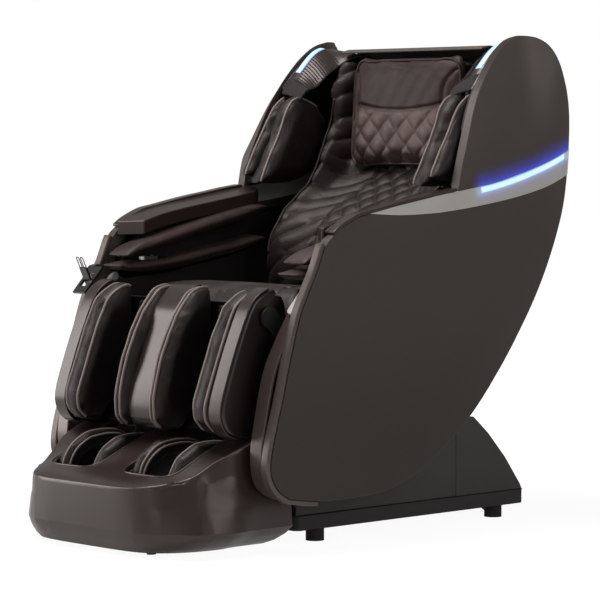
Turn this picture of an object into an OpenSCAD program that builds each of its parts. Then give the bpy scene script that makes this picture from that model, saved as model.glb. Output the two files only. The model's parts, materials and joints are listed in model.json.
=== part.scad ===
// Massage chair: a cradle of seat, back, arms and shoulder wings tilts on a carriage that slides on a
// floor base, with a swinging legrest and an extending foot unit at the front.
// X runs across the chair, the sitter faces -Y and Z is up. The floor is z = 0.

/* [Overall] */
// Width over the two outer side panels
overall_w = 800; // [760:5:860]
// Depth of a side shell, from its outer face inwards
shell_t = 30; // [26:1:36]
// Wall of the outer side panels
panel_t = 7; // [4:0.5:10]
// Width of the gloss strip inside each side shell's front edge
gloss_w = 40; // [34:1:48]
// Wall of the gloss strips and the arm liners
liner_t = 8; // [5:0.5:10]
// Wall of the rear shell and the hoods
cover_t = 6; // [4:0.5:8]

/* [Arms] */
// Distance of the arm cap's inner edge from the middle plane
cap_inner = 312; // [304:1:318]
// Thickness of the arm cap
cap_t = 33; // [24:1:36]
// Slope of the arm cap's top, rising outwards
cap_slope = 11; // [6:1:13]
// Distance of the arm pads' inner edge from the middle plane
pad_inner = 272; // [266:1:285]

/* [Seat and back] */
// Half width of the seat pad
seat_half = 300; // [280:1:302]
// Half thickness of the seat pad
seat_ht = 38; // [30:1:40]
// Half width of the back pad
back_half = 244; // [230:1:250]
// Thickness of the back pad at its middle
back_t = 30; // [22:1:34]
// Half width of the head pillow
pillow_half = 205; // [180:1:225]
// Half thickness of the head pillow
pillow_ht = 30; // [24:1:32]
// Lean of the straight stretch of the guide rails from upright
rail_lean = 34; // [32:0.5:35]

/* [Legrest] */
// Half width of the legrest over its outer walls
calf_half = 300; // [290:1:304]
// Thickness of a legrest outer wall
calf_wall = 40; // [30:1:44]
// Half width of the legrest's centre core
core_half = 43; // [36:1:46]
// Thickness of a centre cushion
centre_pad_w = 43; // [36:1:46]
// Thickness of a wall cushion
wall_pad_w = 57; // [48:1:60]
// Radius of the knee pin
knee_pin_r = 8; // [6:0.5:10]

/* [Foot unit] */
// Half width of the foot unit at its widest line
foot_half = 335; // [320:1:345]
// Half length of the foot unit
foot_len = 184; // [176:1:186]
// Half width of a foot well
well_half = 83; // [74:1:86]
// Distance of a foot well's middle from the middle plane
well_x = 135; // [128:1:140]
// Radius of the foot rollers
foot_roller_r = 15; // [11:1:17]

/* [Base] */
// Half width of the base
base_half = 262; // [252:1:270]
// Wall of the base covers
base_wall = 4; // [3:0.5:5]
// Height of the feet
feet_h = 40; // [36:1:44]
// Radius of the feet
feet_r = 22; // [18:1:24]
// Side of the square frame tube
tube = 40; // [32:1:42]
// Radius of the tilt pin
tilt_pin_r = 10; // [8:0.5:12]
// Radius of the transport wheels
wheel_r = 26; // [22:1:26]

/* [Mechanism] */
// Half spacing of the two guide rails
rail_x = 150; // [140:1:160]
// Depth of a guide rail's section
rail_h = 20; // [16:1:22]
// Radius of the kneading rollers
roller_r = 22; // [18:1:24]
// Radius of the cross tubes of the cradle
cross_r = 16; // [12:1:17]
// Radial running clearance of every pin in its bore
fit_gap = 0.05; // [0.02:0.01:0.1]
// Clearance between pieces that rest on each other
seat_gap = 0.3; // [0.2:0.05:0.5]

/* [Hidden] */
$fn = 48;

half_w = overall_w / 2;
shell_in = half_w - shell_t;
gloss_in = shell_in - gloss_w;
liner_in = gloss_in - liner_t;
wing_liner_w = 18;
wing_in = shell_in - wing_liner_w;

// ---- Outlines in side view, each point [y, z] ----
front_edge = [[-192, 729], [-217, 706], [-244, 645], [-270, 598], [-298, 541], [-329, 440], [-354, 346],
  [-383, 245], [-387, 192], [-366, 154], [-331, 131]];
under_edge = [[-331, 131], [-240, 119], [-123, 117], [-4, 129], [119, 177], [218, 245], [290, 305],
  [372, 394],
  [440, 480], [505, 575], [560, 680], [597, 780], [611, 860]];
band_low = [[611, 860], [559, 840], [499, 823], [421, 807], [343, 795], [267, 785], [192, 777], [117, 772],
  [17, 770], [-77, 775]];
arm_nose = [[-77, 775], [-118, 767], [-169, 745], [-192, 729]];
band_high = [[617, 922], [559, 900], [499, 881], [420, 860], [343, 842], [278, 832], [220, 823]];
band_tip = [[220, 823], [154, 815], [100, 806], [17, 793], [-77, 775]];
wing_edge = [[220, 823], [232, 880], [250, 940], [286, 1045], [340, 1130], [395, 1182], [445, 1200],
  [480, 1201],
  [515, 1194], [550, 1175], [580, 1140], [602, 1090], [614, 1045], [619, 990], [617, 922]];
gloss_edge = [[-222, 612], [-250, 583], [-283, 545], [-325, 480], [-358, 415], [-385, 306], [-397, 224],
  [-383, 162], [-345, 132], [-306, 122], [-240, 118]];
rear_line = [[607, 1085], [605, 980], [603, 920], [598, 860], [583, 790], [556, 715], [515, 630], [465, 545],
  [400, 455], [345, 392]];
crown_line = [[455, 1174], [490, 1180], [530, 1168], [568, 1140], [592, 1105], [607, 1085]];

// ---- Curve helpers ----
function spline_at(a, b, c, d, t) = 0.5 * (2 * b + (c - a) * t + (2 * a - 5 * b + 4 * c - d) * t * t
  + (3 * b - a - 3 * c + d) * t * t * t);
function smooth(p, n = 4) = [
  for (i = [0 : len(p) - 2]) for (k = [0 : n - 1])
    spline_at(p[max(i - 1, 0)], p[i], p[i + 1], p[min(i + 2, len(p) - 1)], k / n),
  p[len(p) - 1]];
function reverse(p) = [for (i = [len(p) - 1 : -1 : 0]) p[i]];
function tail(p) = [for (i = [1 : len(p) - 1]) p[i]];
function heading(p, i) = let (v = p[min(i + 1, len(p) - 1)] - p[max(i - 1, 0)]) v / norm(v);
function shifted(p, d) = [for (i = [0 : len(p) - 1]) let (h = heading(p, i)) p[i] + d * [-h[1], h[0]]];
function band(p, d0, d1) = concat(shifted(p, d0), reverse(shifted(p, d1)));
function shrink(p, c, k) = [for (q = p) c + (q - c) * k];
function along(p, s) = let (f = s * (len(p) - 1), i = min(floor(f), len(p) - 2)) p[i] + (p[i + 1] - p[i])
  * (f - i);
function part_of(p, i0, i1) = [for (i = [i0 : i1]) p[i]];
function mirrored(p) = [for (q = reverse(p)) [-q[0], q[1]]];

lower_outline = concat(smooth(front_edge), tail(smooth(under_edge)), tail(smooth(band_low)), tail(arm_nose));
lower_centre = [120, 460];
wing_outline = concat(smooth(wing_edge), tail(smooth(band_high, 3)));
wing_centre = [450, 1000];

module along_x(x0, x1) {
  translate([x0, 0, 0]) rotate([90, 0, 90]) linear_extrude(x1 - x0) children();
}
module bar_x(x0, x1, p, r) {
  translate([x0, p[0], p[1]]) rotate([0, 90, 0]) cylinder(r = r, h = x1 - x0);
}
module box(lo, hi) {
  translate(lo) cube(hi - lo);
}
module both_sides() {
  children();
  mirror([1, 0, 0]) children();
}

// ---- Soft forms: closed meshes of triangles ----
// rings: list of rings with the same number of points, capped at both ends
module ring_solid(rings) {
  n = len(rings[0]);
  m = len(rings);
  sides = [for (i = [0 : m - 2]) for (k = [0 : n - 1]) let (a = i * n + k, b = i * n + (k + 1) % n)
    each [[a, b, b + n], [a, b + n, a + n]]];
  cap = [for (k = [0 : floor(n / 2) - 2 + n % 2]) each [
    if (k + 1 < n - 1 - k) [k, k + 1, n - 1 - k],
    if (k + 1 < n - 2 - k) [k + 1, n - 2 - k, n - 1 - k]]];
  last = (m - 1) * n;
  cap0 = [for (t = cap) [t[0], t[2], t[1]]];
  cap1 = [for (t = cap) t + [last, last, last]];
  polyhedron(points = [for (r = rings) each r], faces = concat(sides, cap0, cap1), convexity = 6);
}
// A cushion whose outline in side view swells from its two faces to its middle
pad_steps = [[0, 0.84], [0.08, 0.93], [0.25, 0.985], [0.5, 1], [0.75, 0.985], [0.92, 0.93], [1, 0.84]];
function area(p) = [for (i = [0 : len(p) - 1]) p[i][0] * p[(i + 1) % len(p)][1] - p[(i + 1) % len(p)][0]
  * p[i][1]]
  * [for (q = p) 0.5];
function clockwise(p) = area(p) > 0 ? reverse(p) : p;
module side_pad(outline, centre, x0, x1) {
  ring_solid([for (s = pad_steps) [for (q = clockwise(outline)) let (p = centre + (q - centre) * s[1])
    [x0 + (x1 - x0) * s[0], p[0], p[1]]]]);
}
// A cushion that runs along a path in side view and is crowned across
function power(v, e) = sign(v) * pow(abs(v), e);
function pad_ring(p, h, cx, hw, ht, n) = [for (k = [0 : n - 1]) let (a = 360 * k / n,
  u = hw * power(cos(a), 0.5), w = ht * power(sin(a), 0.8)) [cx + u, p[0] - h[1] * w, p[1] + h[0] * w]];
module path_pad(path, cx, hw, ht, n = 20, m = 11, tip = 0.35, taper = 6) {
  fine = smooth(path, 6);
  ring_solid([for (i = [0 : m]) let (s = (1 - cos(180 * i / m)) / 2, j = round(s * (len(fine) - 1)),
    f = max(tip, pow(1 - pow(abs(2 * s - 1), taper), 0.5)))
    pad_ring(fine[j], heading(fine, j), cx, hw * (0.85 + 0.15 * f), ht * f, n)]);
}

// Keeps only what lies under the hoods and in front of the rear shell
hood_room = 12;
shell_room = 1;
module inside_shell() {
  intersection() {
    children();
    along_x(0, half_w) polygon(concat([[-600, 1076]], shifted(smooth(hood_line), -hood_room),
      shifted(smooth(rear_line), -cover_t - shell_room), [[300, 340], [-600, 100]]));
  }
}

// ---- Lower side shells ----
module side_shell() {
  color("#3b3634") difference() {
    along_x(shell_in, half_w) polygon(lower_outline);
    along_x(shell_in - 1, half_w - panel_t) polygon(shrink(lower_outline, lower_centre, 0.93));
  }
}
strip_t = 12;
module edge_strip() {
  color("#8a817d") along_x(shell_in, half_w - panel_t)
    polygon(band(concat(part_of(smooth(front_edge), 4, 40), part_of(smooth(under_edge), 1, 4)),
      -seat_gap, -strip_t));
}
gloss_t = 8;
gloss_depth = 45;
module gloss_strip() {
  color("#4a3d3b") {
    along_x(gloss_in, shell_in - seat_gap) polygon(band(smooth(gloss_edge), 0, gloss_t));
    along_x(gloss_in, gloss_in + liner_t) polygon(band(smooth(gloss_edge), gloss_t, gloss_depth));
  }
}

// ---- Arms ----
shelf_line = [[-246, 602], [-158, 610], [-83, 614], [-7, 628], [71, 640], [149, 655], [228, 674]];
shelf_t = 10;
liner_front = [[-246, 602], [-262, 560], [-300, 480], [-330, 400], [-350, 300], [-345, 230], [-300, 190]];
liner_rear = [[-300, 190], [-100, 190], [60, 230], [200, 320], [330, 450], [420, 570], [440, 640],
  [228, 674]];
shelf_top = [for (p = shelf_line) if (p[0] > -170) p];
module arm_liner() {
  color("#2a2422") {
    along_x(liner_in, gloss_in - seat_gap) polygon(concat(liner_front, tail(liner_rear),
      tail(reverse(shelf_line))));
    along_x(gloss_in - seat_gap, shell_in - liner_t)
      polygon(concat(shelf_top, reverse(shifted(shelf_top, -shelf_t))));
    inside_shell() along_x(shell_in - liner_t, shell_in - seat_gap)
      polygon(shrink(lower_outline, lower_centre, 0.89));
  }
}
cap_top = [[-215, 731], [-169, 745], [-94, 765], [31, 786], [179, 808], [238, 817]];
cap_plan = [[cap_inner, -165], [shell_in - 4, -207], [shell_in - seat_gap, -200], [shell_in - seat_gap, 232],
  [cap_inner + 30, 236], [cap_inner + 10, 228], [cap_inner, 208]];
cap_line = [[-192, 729], [-169, 745], [-118, 767], [-77, 775], [17, 793], [100, 806], [154, 815], [214, 823]];
cap_lip = 8;
module arm_cap() {
  color("#544643") {
    intersection() {
      translate([cap_inner, 0, cap_top[3][1]]) rotate([0, -cap_slope, 0]) translate([0, 0, -cap_top[3][1]])
        along_x(-20, half_w - cap_inner)
          polygon(concat(smooth(cap_top), [for (p = reverse(smooth(cap_top))) p - [0, cap_t]]));
      translate([0, 0, 600]) linear_extrude(300) polygon(cap_plan);
    }
    along_x(shell_in - seat_gap - 2, half_w - 2) polygon(band(smooth(cap_line, 3), seat_gap, cap_lip));
  }
}
upper_pad = [[-254, 659], [-200, 677], [-90, 705], [32, 734], [149, 759], [232, 777]];
lower_pad = [[-272, 642], [-232, 635], [-158, 636], [-83, 640], [-7, 655], [71, 667], [149, 682], [224, 701]];
arm_pad_ht = 12;
pad_outer = shell_in - liner_t - seat_gap;
pad_mid = (pad_inner + pad_outer) / 2;
module arm_pad(path) {
  path_pad(path, pad_mid, pad_outer - pad_mid, arm_pad_ht, 16, 10, 0.3, 3);
}
module arm_pads_upper() color("#3a2825") both_sides() arm_pad(upper_pad);
module arm_pads_lower() color("#3a2825") both_sides() arm_pad(lower_pad);

// ---- Oval speakers on the slope at the top of the gloss strips ----
speaker_l = 96;
speaker_r = 15;
speaker_t = 7;
speaker_mid = [-253, 580];
speaker_tilt = 47;
speaker_x = (gloss_in + shell_in) / 2;
module speaker() {
  translate([speaker_x, speaker_mid[0], speaker_mid[1]]) rotate([speaker_tilt, 0, 0])
    translate([0, 0, seat_gap]) linear_extrude(speaker_t) {
      square([2 * speaker_r, speaker_l - 2 * speaker_r], center = true);
      for (s = [-1, 1]) translate([0, s * (speaker_l / 2 - speaker_r)]) circle(speaker_r);
    }
}
module speakers() color("#9a98a0") both_sides() speaker();

// ---- Wings, hoods and bands ----
module wing() {
  color("#3d3835") difference() {
    along_x(shell_in, half_w) polygon(wing_outline);
    along_x(shell_in - 1, half_w - panel_t) polygon(shrink(wing_outline, wing_centre, 0.88));
  }
}
module wing_liner() {
  color("#1c1817") inside_shell() along_x(wing_in, shell_in - seat_gap)
    polygon(shrink(wing_outline, wing_centre, 0.93));
}
hood_inner = 250;
hood_drop = 7;
hood_line = [[318, 1085], [348, 1122], [397, 1168], [445, 1188], [480, 1190], [512, 1184], [545, 1166],
  [572, 1136],
  [591, 1096]];
module hood_frame() {
  translate([shell_in, 0, hood_line[4][1]]) rotate([0, -hood_drop, 0]) translate([0, 0, -hood_line[4][1]])
    children();
}
hood_w = shell_in - hood_inner;
module hood() {
  color("#463d3a") intersection() {
    hood_frame() along_x(-hood_w, shell_t / 2) polygon(band(smooth(hood_line), 0, -cover_t));
    box([0, 0, 1000], [shell_in - seat_gap, 700, 1250]);
  }
}
grille_ribs = 14;
grille_w = 56;
rib = 3;
grille_from = 0.1;
grille_to = 0.42;
hood_fine = smooth(hood_line, 8);
module grille_bars() {
  hood_frame() for (i = [0 : grille_ribs - 1]) {
    s = grille_from + (grille_to - grille_from) * i / (grille_ribs - 1);
    j = round(s * (len(hood_fine) - 1));
    p = hood_fine[j];
    h = heading(hood_fine, j);
    translate([-hood_w + 4, p[0], p[1]]) rotate([atan2(h[1], h[0]), 0, 0]) translate([0, -rib / 2, 0.2])
      cube([grille_w, rib, rib]);
  }
}
module shoulder_grilles() color("#2b2624") both_sides() grille_bars();
light_w = 20;
side_light = [for (p = smooth(band_high, 8)) if (p[0] > 286 && p[0] < 608) p];
light_h = 17;
light_t = 3;
module light_strips() {
  color("#c8f4ff") both_sides() {
    along_x(half_w - light_t, half_w) polygon(band(side_light, 1, light_h));
    hood_frame() along_x(-shell_t - light_w - 8, -shell_t - 8)
      polygon(band([for (i = [14 : 30]) hood_fine[i]], 0.2, light_t));
  }
}
module silver_band() {
  color("#a5a19d") difference() {
    along_x(shell_in, half_w) polygon(concat(smooth(band_high, 3), tail(smooth(band_tip, 3)),
      tail(reverse(smooth(band_low)))));
    along_x(half_w - light_t - 0.1, half_w + 1) polygon(band(side_light, 0.9, light_h + 0.1));
  }
}
module rear_shell() {
  color("#332e2c") {
    along_x(-shell_in + seat_gap, shell_in - seat_gap) polygon(band(smooth(rear_line), -cover_t, 0));
    along_x(-hood_inner + 1, hood_inner - 1) polygon(band(smooth(crown_line), -cover_t, 0));
  }
}

// ---- Guide rails and frames ----
rail_foot = [375, 600];
rail_run = 335;
rail_dir = [sin(rail_lean), cos(rail_lean)];
rail_top = rail_foot + rail_run * rail_dir;
rail_low = [[-140, 398], [-40, 400], [80, 405], [190, 430], [275, 478], [330, 535], rail_foot];
rail_path = concat(smooth(rail_low, 5), [rail_top], [rail_top + [9, 45]]);
rail_w = 24;
module guide_rails() {
  color("#b4b6ba") both_sides() difference() {
    along_x(rail_x - rail_w / 2, rail_x + rail_w / 2) polygon(band(rail_path, -rail_h / 2, rail_h / 2));
    along_x(rail_x - rail_w / 2 - 1, rail_x - rail_w / 2 + 9)
      polygon(band(rail_path, -rail_h / 4, rail_h / 4));
  }
}
// Cross tubes lie against the outer side of the rails
function tube_at(i, r) = let (h = heading(rail_path, i)) rail_path[i] + (rail_h / 2 + r + seat_gap)
  * [h[1], -h[0]];
front_tube = tube_at(3, cross_r);
mid_tube = tube_at(12, cross_r);
back_tube = tube_at(27, cross_r);
top_r = 10;
top_tube = rail_top - 10 * rail_dir + (rail_h / 2 + top_r + seat_gap) * [rail_dir[1], -rail_dir[0]];
plate_x = calf_half + 5;
plate_t = 8;
cross_end = max(liner_in - seat_gap, plate_x + plate_t);
knee = [-315, 540];
knee_boss = 24;
tilt_pivot = [-20, 330];
lug_x = 188;
lug_t = 11;
lever = 100;
rod_pin = tilt_pivot - [0, lever];
rod_pin_r = 8;
pan_z = 503;
pan_t = 6;
pan_front = -150;
seat_plate = [[-318, 516], [-200, 395], [-60, 372], [140, 378], [330, 452], [352, 520], [300, 540],
  [180, 497],
  [-190, 497], [-318, 564]];
module seat_frame() {
  color("#2e3033") difference() {
    union() {
      both_sides() {
        along_x(plate_x, plate_x + plate_t) polygon(seat_plate);
        bar_x(plate_x, plate_x + plate_t, knee, knee_boss);
        bar_x(calf_half - calf_wall + 2, plate_x + 1, knee, knee_pin_r);
        along_x(lug_x, lug_x + lug_t) polygon([front_tube + [-cross_r, 0], tilt_pivot - [20, 0],
          tilt_pivot + [0, -22],
          tilt_pivot + [20, 0], mid_tube + [cross_r, 0], mid_tube + [0, 12], front_tube + [0, 12]]);
        along_x(8, 16) polygon([front_tube + [-cross_r, 0], rod_pin - [14, 8], rod_pin + [14, -8], mid_tube]);
      }
      for (t = [front_tube, mid_tube]) bar_x(-cross_end, cross_end, t, cross_r);
      box([-plate_x - 1, pan_front, pan_z - pan_t], [plate_x + 1, 175, pan_z]);
      bar_x(-15, 15, rod_pin, rod_pin_r);
    }
    both_sides() bar_x(lug_x - 1, lug_x + lug_t + 1, tilt_pivot, tilt_pin_r + fit_gap);
  }
}
// The back pad's face is a channel: its middle line lies behind the two side ridges
back_middle = [[190, 556], [214, 650], [262, 725], [335, 785], [412, 828], [456, 868], [474, 925],
  [489, 1000],
  [500, 1080], [508, 1150]];
back_ridge = [[174, 552], [166, 664], [206, 737], [252, 790], [309, 848], [345, 920], [376, 979], [425, 1060],
  [486, 1150]];
back_rows = 13;
back_mid = smooth(back_middle, 6);
back_edge = smooth(back_ridge, 6);
function back_rear(i, t) = let (s = i / back_rows, h = heading(back_mid, round(s * (len(back_mid) - 1))))
  along(back_mid, s) + t * [h[1], -h[0]];
back_line = [for (i = [2 : back_rows - 1]) back_rear(i, back_t)];
back_plate_rear = [[588, 1060], [594, 985], [592, 900], [560, 780], [480, 640], [390, 524], [352, 524]];
board_in = 196;
board_t = 5;
module back_frame() {
  color("#2e3033") {
    both_sides() {
      along_x(plate_x, plate_x + plate_t) polygon(concat(shifted(back_line, -seat_gap), back_plate_rear));
      along_x(board_in, plate_x + 1) polygon(band(back_line, -seat_gap, -board_t));
    }
    bar_x(-cross_end, cross_end, back_tube, cross_r);
    bar_x(-plate_x - 1, plate_x + 1, top_tube, top_r);
  }
}

// ---- Seat pad, back pad and pillow ----
seat_path = [[-190, 500], [-192, 535], [-166, 556], [-100, 556], [-20, 546], [60, 541], [165, 551]];
module seat_pad() {
  color("#2c211f") path_pad(seat_path, 0, seat_half, seat_ht, 24, 14, 0.5, 8);
}
back_cols = 12;
low_bend = 2.2;
pillow_bend = 12;
// Thickness of the pad's thin middle half, which the rollers knead from behind
back_thin = 6.5;
module back_pad() {
  steps = [for (k = [0 : back_cols]) 2 * k / back_cols - 1];
  rings = [for (i = [0 : back_rows]) let (
      s = i / back_rows,
      m = along(back_mid, s),
      r = along(back_edge, s),
      rear = back_rear(i, back_t),
      thin = back_rear(i, back_thin),
      bend = low_bend + (pillow_bend - low_bend) * min(1, max(0, (s - 0.3) / 0.2)))
    concat(
      [for (u = steps) let (q = abs(u) < 0.51 ? thin : rear) [back_half * u, q[0], q[1]]],
      [for (u = reverse(steps)) let (w = pow(abs(u), bend), e = pow(abs(u), 14))
        [back_half * u, m[0] + (r[0] - m[0]) * w + 14 * e, m[1] + (r[1] - m[1]) * w]])];
  color("#2c211f") ring_solid(rings);
}
pillow_path = [[439.7, 872], [442.2, 930], [448.2, 1000], [454.2, 1080], [462.2, 1164]];
module head_pillow() {
  color("#3a302e") path_pad(pillow_path, 0, pillow_half, pillow_ht, 24, 12, 0.3, 5);
}

// ---- Shoulder air-bag pads ----
shoulder_inner = [[180, 830], [214, 899], [245, 956], [276, 1022], [297, 1050], [322, 1060], [355, 1052],
  [392, 1037],
  [424, 1000], [420, 930], [380, 860], [300, 832]];
shoulder_outer = [[184, 850], [219, 922], [257, 990], [293, 1038], [324, 1058], [349, 1059], [400, 1045],
  [430, 1000],
  [420, 930], [380, 860], [300, 836]];
shoulder_split = 316;
shoulder_x = 262;
module shoulder_pads() {
  color("#1d1817") {
    side_pad(shoulder_inner, [320, 940], shoulder_x, shoulder_split);
    side_pad(shoulder_outer, [320, 940], shoulder_split + seat_gap, wing_in - seat_gap);
  }
}

// ---- Massage mechanism on the straight stretch of the rails ----
carriage_at = rail_foot + 0.5 * rail_run * rail_dir;
carriage_l = 84;
carriage_t = 10;
rail_out = [-rail_dir[1], rail_dir[0]];
module on_rail(d, n) {
  p = carriage_at + d * rail_dir + n * rail_out;
  translate([0, p[0], p[1]]) rotate([-rail_lean, 0, 0]) children();
}
// In the frame of on_rail, Z runs up the rails and -Y runs towards the sitter
arm_slot = 17;
module massage_carriage() {
  color("#3a3d42") on_rail(0, 0) difference() {
    union() {
      box([-rail_x + rail_w / 2 + 1, -carriage_t / 2, -carriage_l / 2],
        [rail_x - rail_w / 2 - 1, carriage_t / 2, carriage_l / 2]);
      for (z = [-1, 1]) translate([-rail_x + rail_w / 2 - 7, 0, z * (carriage_l / 2 - 12)]) rotate([0, 90, 0])
        cylinder(r = rail_h / 4 - 0.3, h = 2 * (rail_x - rail_w / 2 + 7));
      translate([-45, carriage_t / 2 - 1, -carriage_l / 2]) cube([90, 28, carriage_l / 2 - arm_bar / 2 - 3]);
    }
    for (s = [-1, 1]) translate([s * arm_x - arm_slot / 2, -40, -arm_slot / 2])
      cube([arm_slot, 80, arm_slot]);
  }
}
arm_bar = 16;
arm_x = 70;
axle_r = 5;
axle_out = 28;
arm_back = 44;
yoke_t = 12;
module kneading_arms() {
  color("#50555c") on_rail(0, 0) difference() {
    union() {
      for (s = [-1, 1]) translate([s * arm_x - arm_bar / 2, -axle_out - arm_bar / 2, -arm_bar / 2])
        cube([arm_bar, arm_back + axle_out + arm_bar / 2, arm_bar]);
      translate([-arm_x, arm_back - yoke_t, -arm_bar / 2]) cube([2 * arm_x, yoke_t, arm_bar]);
    }
    translate([-90, -axle_out, 0]) rotate([0, 90, 0]) cylinder(r = axle_r + fit_gap, h = 180);
  }
}
roller_w = 18;
roller_off = 26;
module kneading_rollers() {
  color("#8a8d92") on_rail(0, 0) translate([0, -axle_out, 0]) rotate([0, 90, 0]) {
    translate([0, 0, -arm_x - roller_off - 8]) cylinder(r = axle_r, h = 2 * (arm_x + roller_off + 8));
    for (s = [-1, 1]) for (x = [-roller_off, roller_off]) translate([0, 0, s * arm_x + x - roller_w / 2])
      cylinder(r = roller_r, h = roller_w);
  }
}

// ---- Legrest ----
calf_front = [[-290, 604], [-316, 600], [-357, 573], [-394, 502], [-431, 410], [-454, 338], [-448, 300],
  [-425, 275], [-372, 262]];
calf_rear = [[-372, 262], [-340, 280], [-318, 315], [-290, 380], [-270, 440], [-257, 520], [-263, 574],
  [-290, 604]];
core_front = [[-286, 600], [-298, 599], [-318, 590], [-357, 548], [-375, 500], [-403, 438], [-437, 342],
  [-433, 295], [-418, 272], [-372, 262]];
centre_edge = [[-288, 604], [-304, 607], [-340, 598], [-387, 548], [-415, 503], [-443, 438], [-464, 342],
  [-460, 292], [-432, 266], [-380, 266]];
wall_edge = [[-285, 602], [-300, 606], [-322, 602], [-371, 573], [-410, 502], [-447, 410], [-470, 338],
  [-464, 300],
  [-435, 272], [-385, 268]];
wall_profile = concat(smooth(calf_front, 3), tail(smooth(calf_rear, 3)));
plate_rear = [[-352, 268], [-322, 314], [-294, 380], [-274, 440], [-261, 520], [-266, 568]];
rear_plate_t = 10;
calf_lean = 21.6;
calf_dir = [-sin(calf_lean), -cos(calf_lean)];
module calf_shell() {
  color("#231d1c") difference() {
    union() {
      both_sides() along_x(calf_half - calf_wall, calf_half) polygon(wall_profile);
      along_x(-core_half, core_half) polygon(concat(smooth(core_front, 3), tail(smooth(calf_rear, 3))));
      along_x(-calf_half + 1, calf_half - 1) polygon(band(smooth(plate_rear, 3), 0, rear_plate_t));
      both_sides() slide_bar();
    }
    both_sides() bar_x(calf_half - calf_wall - 1, calf_half + 1, knee, knee_pin_r + fit_gap);
  }
}
bar_x_at = 240;
bar_r = 8;
bar_l = 385;
bar_from = [-268, 438];
calf_tilt_x = 180 - calf_lean;
module slide_bar(r = bar_r, from = 0, l = bar_l) {
  p = bar_from + from * calf_dir;
  translate([bar_x_at, p[0], p[1]]) rotate([calf_tilt_x, 0, 0]) cylinder(r = r, h = l);
}
trim_t = 5;
centre_trim = part_of(smooth(core_front, 3), 2, 21);
wall_trim = part_of(smooth(calf_front, 3), 2, 22);
module calf_trims() {
  color("#5d4d4a") {
    along_x(-core_half + 1, core_half - 1) polygon(band(centre_trim, -seat_gap, -trim_t));
    both_sides() along_x(calf_half - calf_wall, calf_half) polygon(band(wall_trim, -seat_gap, -trim_t));
  }
}
pad_rear = [[-340, 284], [-322, 320], [-300, 372], [-282, 440], [-270, 515], [-270, 560]];
module calf_cushion(edge, x0, x1) {
  outline = concat(edge, pad_rear_for(edge));
  side_pad(outline, [-360, 440], x0, x1);
}
function pad_rear_for(edge) = [for (p = tail(pad_rear)) p + [-(rear_plate_t + seat_gap) * 1.3, 0]];
calf_pad_ht = 9;
calf_path = shifted(part_of(plate_rear, 1, 5), rear_plate_t + calf_pad_ht + 0.8);
well_lo = core_half + centre_pad_w + 2 * seat_gap;
well_hi = calf_half - calf_wall - wall_pad_w - 2 * seat_gap;
module calf_pads() {
  color("#1a1514") both_sides() {
    calf_cushion(centre_edge, core_half + seat_gap, core_half + centre_pad_w);
    calf_cushion(wall_edge, calf_half - calf_wall - wall_pad_w, calf_half - calf_wall - seat_gap);
    path_pad(calf_path, (well_lo + well_hi) / 2, (well_hi - well_lo) / 2 - 1, calf_pad_ht, 12, 8, 0.4, 6);
  }
}

// ---- Foot unit, which slides along the legrest ----
foot_mid_y = -435;
sole_z = 62;
foot_levels = [[12, -72, -16], [22, -46, -10], [40, -18, -3], [58, 0, 0], [110, -3, 0], [170, -8, -1],
  [220, -14, -3],
  [275, -22, -8]];
foot_steps = 40;
function foot_ring(l, d) = [for (k = [0 : foot_steps - 1]) let (a = -360 * k / foot_steps)
  [(foot_half + l[1] - d) * power(cos(a), 0.52), foot_mid_y + (foot_len + l[2] - d) * power(sin(a), 0.52),
    l[0]]];
foot_top = [[-640, 158], [-616, 160], [-590, 171], [-530, 190], [-479, 211], [-420, 238], [-358, 262],
  [-320, 268],
  [-230, 262]];
module foot_cut(drop) {
  along_x(-400, 400) polygon(concat([for (p = smooth(foot_top, 3)) p - [0, drop]], [[-230, 400],
    [-640, 400]]));
}
well_front = -549;
well_corner = 36;
module foot_well(grow, floor_z) {
  translate([well_x, 0, floor_z]) linear_extrude(300) {
    for (s = [-1, 1]) translate([s * (well_half - well_corner), well_front + well_corner])
      circle(well_corner + grow);
    translate([well_corner - well_half, well_front - grow])
      square([2 * (well_half - well_corner), well_corner + grow]);
    translate([-well_half - grow, well_front + well_corner]) square([2 * (well_half + grow), 300]);
  }
}
foot_wall = 6;
roller_at = [-450, 88];
foot_axle_r = 6;
glide_x = 148;
glide_r = 11;
glide_y = [-535, -320];
sleeve_r = 15;
sleeve_from = 200;
sleeve_l = 36;
module foot_shell() {
  color("#4d4341") difference() {
    union() {
      difference() {
        ring_solid([for (l = foot_levels) foot_ring(l, 0)]);
        foot_cut(0);
        both_sides() foot_well(0, sole_z);
        difference() {
          ring_solid([for (l = concat([foot_levels[0] - [foot_wall, 0, 0]],
            foot_levels)) foot_ring(l, foot_wall)]);
          foot_cut(foot_wall);
          both_sides() foot_well(foot_wall, sole_z - foot_wall);
        }
      }
      both_sides() {
        slide_bar(sleeve_r, sleeve_from, sleeve_l);
        for (y = glide_y) translate([glide_x, y, 0]) cylinder(r = glide_r, h = sole_z - 2);
      }
    }
    bar_x(-well_x - well_half - 8, well_x + well_half + 8, roller_at, foot_axle_r + fit_gap);
    both_sides() slide_bar(bar_r + fit_gap, 0, bar_l + 20);
  }
}
foot_pad_path = [[-508, 100], [-508, 150], [-494, 188], [-462, 219], [-415, 230], [-365, 231], [-318, 226]];
foot_pad_w = 17;
foot_pad_x = well_half - foot_pad_w - seat_gap;
module foot_pads() {
  color("#17120f") both_sides() for (x = [well_x - foot_pad_x, well_x + foot_pad_x])
    path_pad(foot_pad_path, x, foot_pad_w, 26, 12, 9, 0.4, 6);
}
module foot_rollers() {
  color("#6c6a68") {
    bar_x(-well_x - well_half - 4, well_x + well_half + 4, roller_at, foot_axle_r);
    both_sides() for (x = [-1, 1])
      bar_x(well_x + x * 22 - 13, well_x + x * 22 + 13, roller_at, foot_roller_r);
  }
}

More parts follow.
